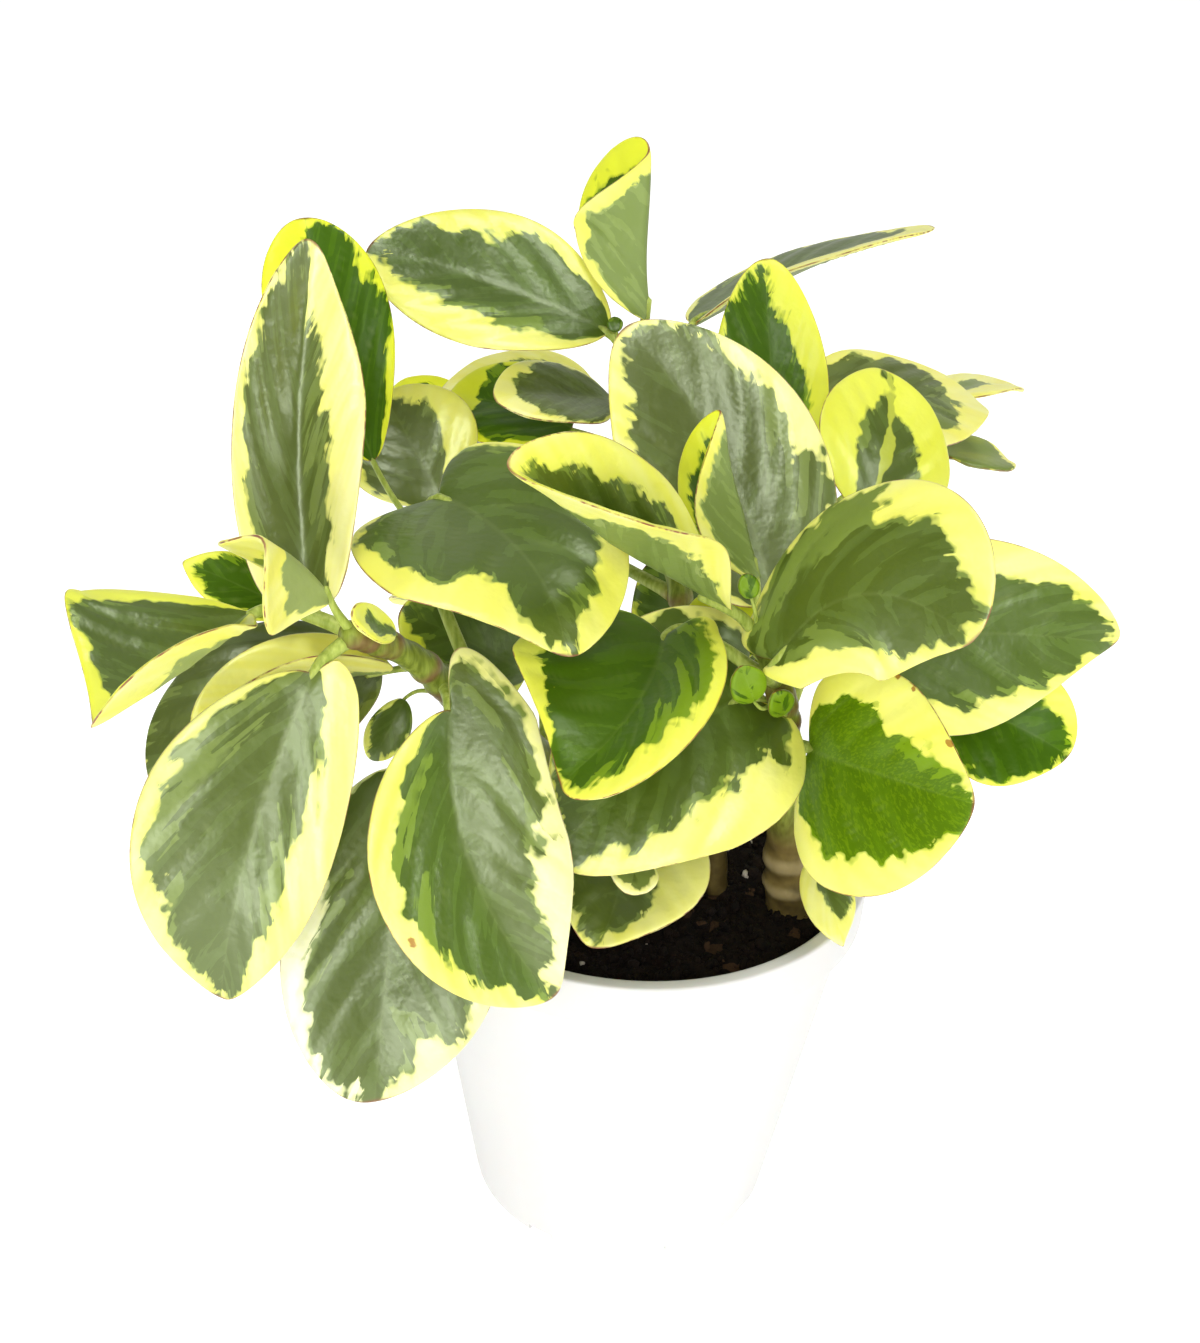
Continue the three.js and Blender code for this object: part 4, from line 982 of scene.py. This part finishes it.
def waxy_leaf(name, upper):
    """Waxy variegated leaf. Its skin is smooth and glossy, so it reads as green under a pale broken sheen.

    The green is built of small fields that lie along the side veins, so it ends in blunt lobes and teeth.
    A paler green lies between it and the margin. The underside shows the same pattern, paler and duller.
    """
    # The specular level set here suits a middling leaf. It is what stays where links to it aren't followed.
    material, tree, shader = blank(
        name, Roughness=0.36 if upper else 0.5, IOR=1.6 if upper else 1.45,
        Specular_IOR_Level=0.8, Specular_Tint=linear("#eef7dc"),
        Subsurface_Weight=0.3, Subsurface_Radius=(0.9, 1.0, 0.15), Subsurface_Scale=0.0014)
    SHORE = 6.0  # millimetres from one bay of the green's outline to the next
    SHORE_DEPTH = 10.0
    LOBE = (5.5, 10.0)  # a lobe's width along the midrib, and its length along the veins
    LOBE_DEPTH = 5.0
    FIELD = (4.5, 7.0)  # the same of one of the small fields that the lobes are built of
    FIELD_DEPTH = 1.3
    SIDE_SHIFT = 31.7  # keeps the two halves of a leaf from mirroring one another
    along, across, seed = written(tree, "vein")
    green_left, dark_left, margin_left = written(tree, "reach")
    vivid_and_backlit, lime_glow_and_glare, share = written(tree, "tone")
    from_spot, fleck, bare = written(tree, "marks")
    side_vein_and_highlight = written(tree, "side_vein_and_highlight")[0]
    off_midrib = add(tree, "Math", across, operation="ABSOLUTE")
    side = add(tree, "Math", across, operation="SIGN")
    row = add(tree, "Math", side, SIDE_SHIFT, seed, operation="MULTIPLY_ADD")
    veined_place = add(tree, "CombineXYZ", along, row, off_midrib)

    def scaled(width, length, shift):
        """Places on the leaf, drawn out along the veins and moved on so that no two patterns match."""
        return add(tree, "Mapping", {
            "Vector": veined_place, "Location": (shift, shift, shift), "Scale": (1 / width, 1, 1 / length)})

    def veined(width, length, shift, detail):
        """Cloudy values, drawn out along the veins."""
        return add(tree, "TexNoise", {
            "Vector": scaled(width, length, shift), "Scale": 1.0, "Detail": detail, "Roughness": 0.6})

    def fields(width, length, shift):
        """One random value for each small field between the veins."""
        place = scaled(width, length, shift)
        cloud = add(tree, "TexNoise", {"Vector": place, "Scale": 2.2, "Detail": 2.0}, output="Color")
        bent = add(tree, "VectorMath", cloud, (0.75, 0.75, 0.75), place, operation="MULTIPLY_ADD")
        cell = add(tree, "TexVoronoi", {"Vector": bent, "Scale": 1.0}, output="Color")
        return add(tree, "SeparateXYZ", cell, output="X")

    def reaches(left, shift):
        """1 where a green still reaches, and how far inside its edge that is, in millimetres."""
        edge = add(tree, "Math", veined(*LOBE, shift, 1), LOBE_DEPTH, left, operation="MULTIPLY_ADD")
        edge = add(tree, "Math", fields(*FIELD, shift), FIELD_DEPTH, edge, operation="MULTIPLY_ADD")
        edge = add(tree, "Math", shore, SHORE_DEPTH, edge, operation="MULTIPLY_ADD")
        edge = add(tree, "Math", edge, (LOBE_DEPTH + FIELD_DEPTH + SHORE_DEPTH) / 2, operation="SUBTRACT")
        return add(tree, "MapRange", edge, -0.18, 0.18), edge

    place = add(tree, "TexCoord", output="Object")
    shore = add(tree, "TexNoise", {
        "Vector": place, "Scale": 1 / (SHORE * MM), "Detail": 2.0, "Roughness": 0.5})
    is_green, green_depth = reaches(green_left, 5)
    is_dark, dark_depth = reaches(dark_left, 40)
    bare_left = add(tree, "Math", off_midrib, bare, operation="SUBTRACT")
    bare_left = add(tree, "Math", shore, 5.0, bare_left, operation="MULTIPLY_ADD")
    is_green = add(tree, "Math", is_green, add(tree, "MapRange", bare_left, 2.3, 2.7), operation="MULTIPLY")

    # The greens: each of a grey leaf and of a vivid one. The grey partly paints the sheen of the sky on the
    # wax, and the vivid partly paints light shining through the leaf. In part they are the leaves' own tones.
    if not upper:
        vivid_and_backlit = add(tree, "Math", vivid_and_backlit, 0.2, operation="MULTIPLY")
    pale, deep, worn = (coated(tree, linear(grey), (vivid_and_backlit, linear(bright)))
                        for grey, bright in (UPPER_GREENS if upper else UNDER_GREENS))
    flecks = add(tree, "MapRange", veined(0.8, 1.1, 80, 2), 0.5, 0.6, 0.3, 0.65)
    # Outside the dark core the pale green comes in streaks, more of them the further out.
    streak = add(tree, "Math", dark_depth, -0.035, fields(3.6, 7, 120), operation="MULTIPLY_ADD")
    streaked = add(tree, "MapRange", streak, 0.57, 0.65)
    outside_core = add(tree, "Math", 1.0, is_dark, operation="SUBTRACT")
    green = coated(
        tree, deep,
        (add(tree, "MapRange", fields(3.0, 7, 70), 0.66, 0.72), worn),
        (add(tree, "Math", flecks, fleck, operation="MULTIPLY"), pale),
        (add(tree, "Math", streaked, outside_core, operation="MULTIPLY"), pale))

    # The margin: cream to yellow, lime where the lime tone is above 0, nearly white where it is below 0, and
    # greener beside the green. The lime is partly the margin's own tone and partly painted glow of light
    # through it, and the near white paints glare.
    edge_lime = linear("#e4ea38")
    margin = coated(
        tree, linear("#fbf7a0"),
        (add(tree, "MapRange", veined(14, 30, 60, 2), 0.35, 0.65), linear("#f7f174")),
        (add(tree, "MapRange", lime_glow_and_glare, 0, 1, 0, 1 if upper else 0.3), edge_lime),
        (add(tree, "MapRange", lime_glow_and_glare, 0, -1), linear("#fffcdc")),
        (add(tree, "MapRange", green_depth, -3.2, -0.2, 0, 0.25), edge_lime),
        (add(tree, "MapRange", green_depth, -1.0, -0.2, 0, 0.5), pale))

    # Veins are a little paler. The midrib is paler by its own colour. Along the side veins the paler line is
    # partly their own colour and partly a painted highlight along their creases. A hair-thin reddish line
    # runs along the margin, and wounds are brown.
    vein_green = linear("#c2cf86")
    midrib_half = add(tree, "MapRange", share, 0, 1, 0.7, 0.1)
    inside_midrib = add(tree, "Math", midrib_half, off_midrib, operation="SUBTRACT")
    line_strength = add(tree, "MapRange", veined(5, 20, 90, 2), 0.42, 0.6, 0.25, 1)
    margin_line = add(tree, "MapRange", margin_left, 0.30, 0.06)
    ragged_spot = add(tree, "Math", shore, 0.8, from_spot, operation="MULTIPLY_ADD")
    skin = coated(
        tree, margin,
        (is_green, green),
        (add(tree, "MapRange", inside_midrib, -0.3, 0.3, 0, 0.05), vein_green),
        (add(tree, "Math", side_vein_and_highlight, 0.1, operation="MULTIPLY"), vein_green),
        (add(tree, "Math", margin_line, line_strength, operation="MULTIPLY"), linear("#8a4b33")),
        (add(tree, "MapRange", share, 0.985, 0.999, 0, 0.9), linear("#7a3a26")),
        (add(tree, "MapRange", ragged_spot, 1.5, 1.2, 0, 0.85), linear("#a2641c")))
    tree.links.new(skin, shader.inputs["Base Color"])
    tree.links.new(add(tree, "MapRange", vivid_and_backlit, 0, 1, 1.0, 0.2), shader.inputs["Specular IOR Level"])

    # The skin is faintly pebbled and uneven.
    pebbles = add(tree, "TexNoise", {"Vector": place, "Scale": 900.0, "Detail": 2.0})
    uneven = add(tree, "TexNoise", {"Vector": place, "Scale": 230.0, "Detail": 2.0})
    height = add(tree, "Math", pebbles, 0.12, uneven, operation="MULTIPLY_ADD")
    bump = add(tree, "Bump", {"Height": height, "Strength": 0.5, "Distance": 0.0006})
    tree.links.new(bump, shader.inputs["Normal"])
    return material


def make_fleshy_stem():
    """Fleshy stem and petiole: juicy light green skin, reddish brown at each node and tan where it is old."""
    material, tree, shader = blank(
        "fleshy_stem", Roughness=0.4, IOR=1.42, Specular_Tint=linear("#f3f5c8"),
        Subsurface_Weight=0.25, Subsurface_Radius=(1.0, 0.9, 0.2), Subsurface_Scale=0.0015)
    knot, old, young = written(tree, "bark")
    place = add(tree, "TexCoord", output="Object")
    streaks = add(tree, "Mapping", {"Vector": place, "Scale": (900, 900, 120)})
    streaks = add(tree, "TexNoise", {"Vector": streaks, "Scale": 1.0, "Detail": 3.0})
    blotches = add(tree, "TexNoise", {"Vector": place, "Scale": 160.0, "Detail": 3.0})
    streaked = add(tree, "MapRange", streaks, 0.35, 0.65)
    green = coated(tree, linear("#65721f"), (streaked, linear("#8c9a3c")))
    fresh = coated(tree, linear("#8b9d3e"), (streaked, linear("#b4c162")))
    tan = coated(tree, linear("#4f4223"), (add(tree, "MapRange", blotches, 0.35, 0.65), linear("#776639")))
    ring = coated(tree, linear("#75433a"), (old, linear("#a3936a")))
    ring_here = add(tree, "Math", knot, blotches, operation="MULTIPLY")
    skin = coated(
        tree, green, (young, fresh), (old, tan), (add(tree, "MapRange", ring_here, 0.16, 0.55, 0, 0.7), ring))
    tree.links.new(skin, shader.inputs["Base Color"])
    bump = add(tree, "Bump", {"Height": streaks, "Strength": 0.35, "Distance": 0.0003})
    tree.links.new(bump, shader.inputs["Normal"])
    return material


def make_moulded_polypropylene():
    """White polypropylene, injection moulded: a satin skin with the faint ripple of a moulded wall."""
    material, tree, shader = blank(
        "moulded_polypropylene", Roughness=0.38, IOR=1.49, Subsurface_Weight=0.1, Subsurface_Scale=0.001)
    place = add(tree, "TexCoord", output="Object")
    grain = add(tree, "TexNoise", {"Vector": place, "Scale": 700.0, "Detail": 2.0})
    ripple = add(tree, "TexNoise", {"Vector": place, "Scale": 40.0, "Detail": 2.0})
    colour = coated(tree, linear("#dddcd9"), (ripple, linear("#d8d7d4")))
    tree.links.new(colour, shader.inputs["Base Color"])
    height = add(tree, "Math", ripple, 3.0, grain, operation="MULTIPLY_ADD")
    bump = add(tree, "Bump", {"Height": height, "Strength": 0.15, "Distance": 0.0002})
    tree.links.new(bump, shader.inputs["Normal"])
    return material


def make_peat_mix():
    """Moist peat potting mix: near-black brown fibres and crumbs, matt, with paler bark here and there."""
    material, tree, shader = blank("peat_mix", Roughness=0.92, Specular_IOR_Level=0.25)
    place = add(tree, "TexCoord", output="Object")
    crumbs = add(tree, "TexNoise", {"Vector": place, "Scale": 420.0, "Detail": 6.0, "Roughness": 0.7})
    bits = add(tree, "TexVoronoi", {"Vector": place, "Scale": 300.0}, output="Color")
    shade = add(tree, "SeparateXYZ", bits, output="X")
    soil = coated(
        tree, linear("#070402"),
        (add(tree, "MapRange", crumbs, 0.38, 0.72), linear("#24160d")),
        (add(tree, "MapRange", shade, 0.95, 0.97), linear("#44301f")))
    tree.links.new(soil, shader.inputs["Base Color"])
    bump = add(tree, "Bump", {"Height": crumbs, "Strength": 0.9, "Distance": 0.0012})
    tree.links.new(bump, shader.inputs["Normal"])
    return material


def make_perlite():
    """Perlite: popped volcanic glass, chalky and off-white, a little stained by the peat."""
    material, tree, shader = blank("perlite", Roughness=0.8)
    place = add(tree, "TexCoord", output="Object")
    stain = add(tree, "TexNoise", {"Vector": place, "Scale": 600.0, "Detail": 3.0})
    tree.links.new(coated(tree, linear("#7d6c5e"), (stain, linear("#d9d2c6"))), shader.inputs["Base Color"])
    return material


fleshy_stem = make_fleshy_stem()
LEAF_MATERIALS = [waxy_leaf("waxy_leaf_upper", True), waxy_leaf("waxy_leaf_underside", False), fleshy_stem]
moulded_polypropylene = make_moulded_polypropylene()
peat_mix = make_peat_mix()
perlite = make_perlite()

# ---------------------------------------------------------------- the plant in its pot
pot_piece()
soil_piece(random.Random(3))
for number, (stem_name, stem_shape) in enumerate(STEMS.items()):
    carried = stem_name.replace("stem", "leaf") + "_"
    stem_leaves = {name: {**PLAIN_LEAF, **leaf} for name, leaf in LEAVES.items() if name.startswith(carried)}
    stem_path = stem_piece(stem_name, stem_shape, stem_leaves, random.Random(number))
    for count, (leaf_name, leaf_shape) in enumerate(stem_leaves.items()):
        leaf_piece(leaf_name, leaf_shape, stem_path, random.Random(100 * number + count))

# ---------------------------------------------------------------- stage and light
FLOOR_SIZE = 5.4
FLOOR_GLOW = 0.55  # keeps the paper white where little light falls on it
# The room is dim but for two bright parts: low in front, and the paper that rises behind the plant.
SKY_DIM = 0.14
SKY_GLOWS = (
    dict(way=(-0.25, -0.95, 0.17), glow=0.4),
    dict(way=(-0.05, 0.94, 0.33), glow=0.7),
)
LIGHTS_AIM = (0, 0, 0.15)
SOFTBOXES = {
    "key_softbox": dict(size=1.1, place=(0.2, -0.5, 2.8), watts=32),
    "high_front_softbox": dict(size=0.9, place=(-0.1, -2.3, 1.65), watts=22),
    "low_front_softbox": dict(size=1.2, place=(-0.8, -2.7, 0.3), watts=32),
    "side_softbox": dict(size=0.8, place=(2.5, -0.75, 0.85), watts=16),
}

floor_bm = bmesh.new()
bmesh.ops.create_grid(floor_bm, x_segments=1, y_segments=1, size=FLOOR_SIZE / 2)
floor = object_from(mesh_from(floor_bm, "floor"), "floor")
floor_material, _, _ = blank(
    "white_paper", Roughness=0.95, Base_Color=linear("#f6f6f6"), Emission_Color=(1, 1, 1, 1),
    Emission_Strength=FLOOR_GLOW)
floor.data.materials.append(floor_material)

for name, box in SOFTBOXES.items():
    softbox_data = bpy.data.lights.new(name, "AREA")
    softbox_data.shape = "DISK"
    softbox_data.size = box["size"]
    softbox_data.energy = box["watts"]
    softbox = object_from(softbox_data, name)
    softbox.location = box["place"]
    softbox.rotation_euler = (Vector(LIGHTS_AIM) - softbox.location).to_track_quat("-Z", "Y").to_euler()

world = bpy.data.worlds.new("studio")
world.use_nodes = True
sky_tree = world.node_tree
direction = add(sky_tree, "TexCoord", output="Generated")
strength = SKY_DIM
for part in SKY_GLOWS:
    nearness = add(sky_tree, "VectorMath", direction, part["way"], output="Value", operation="DOT_PRODUCT")
    glow = add(sky_tree, "MapRange", nearness, 0.5, 1, 0, part["glow"])
    strength = add(sky_tree, "Math", strength, glow, operation="ADD")
# Seen straight on, the room is plain white.
seen = add(sky_tree, "LightPath", output="Is Camera Ray")
background = sky_tree.nodes["Background"]
background.inputs["Color"].default_value = (1, 1, 1, 1)
sky_tree.links.new(add(sky_tree, "Math", strength, seen, operation="MAXIMUM"), background.inputs["Strength"])
bpy.context.scene.world = world
bpy.context.scene.view_settings.view_transform = "Standard"
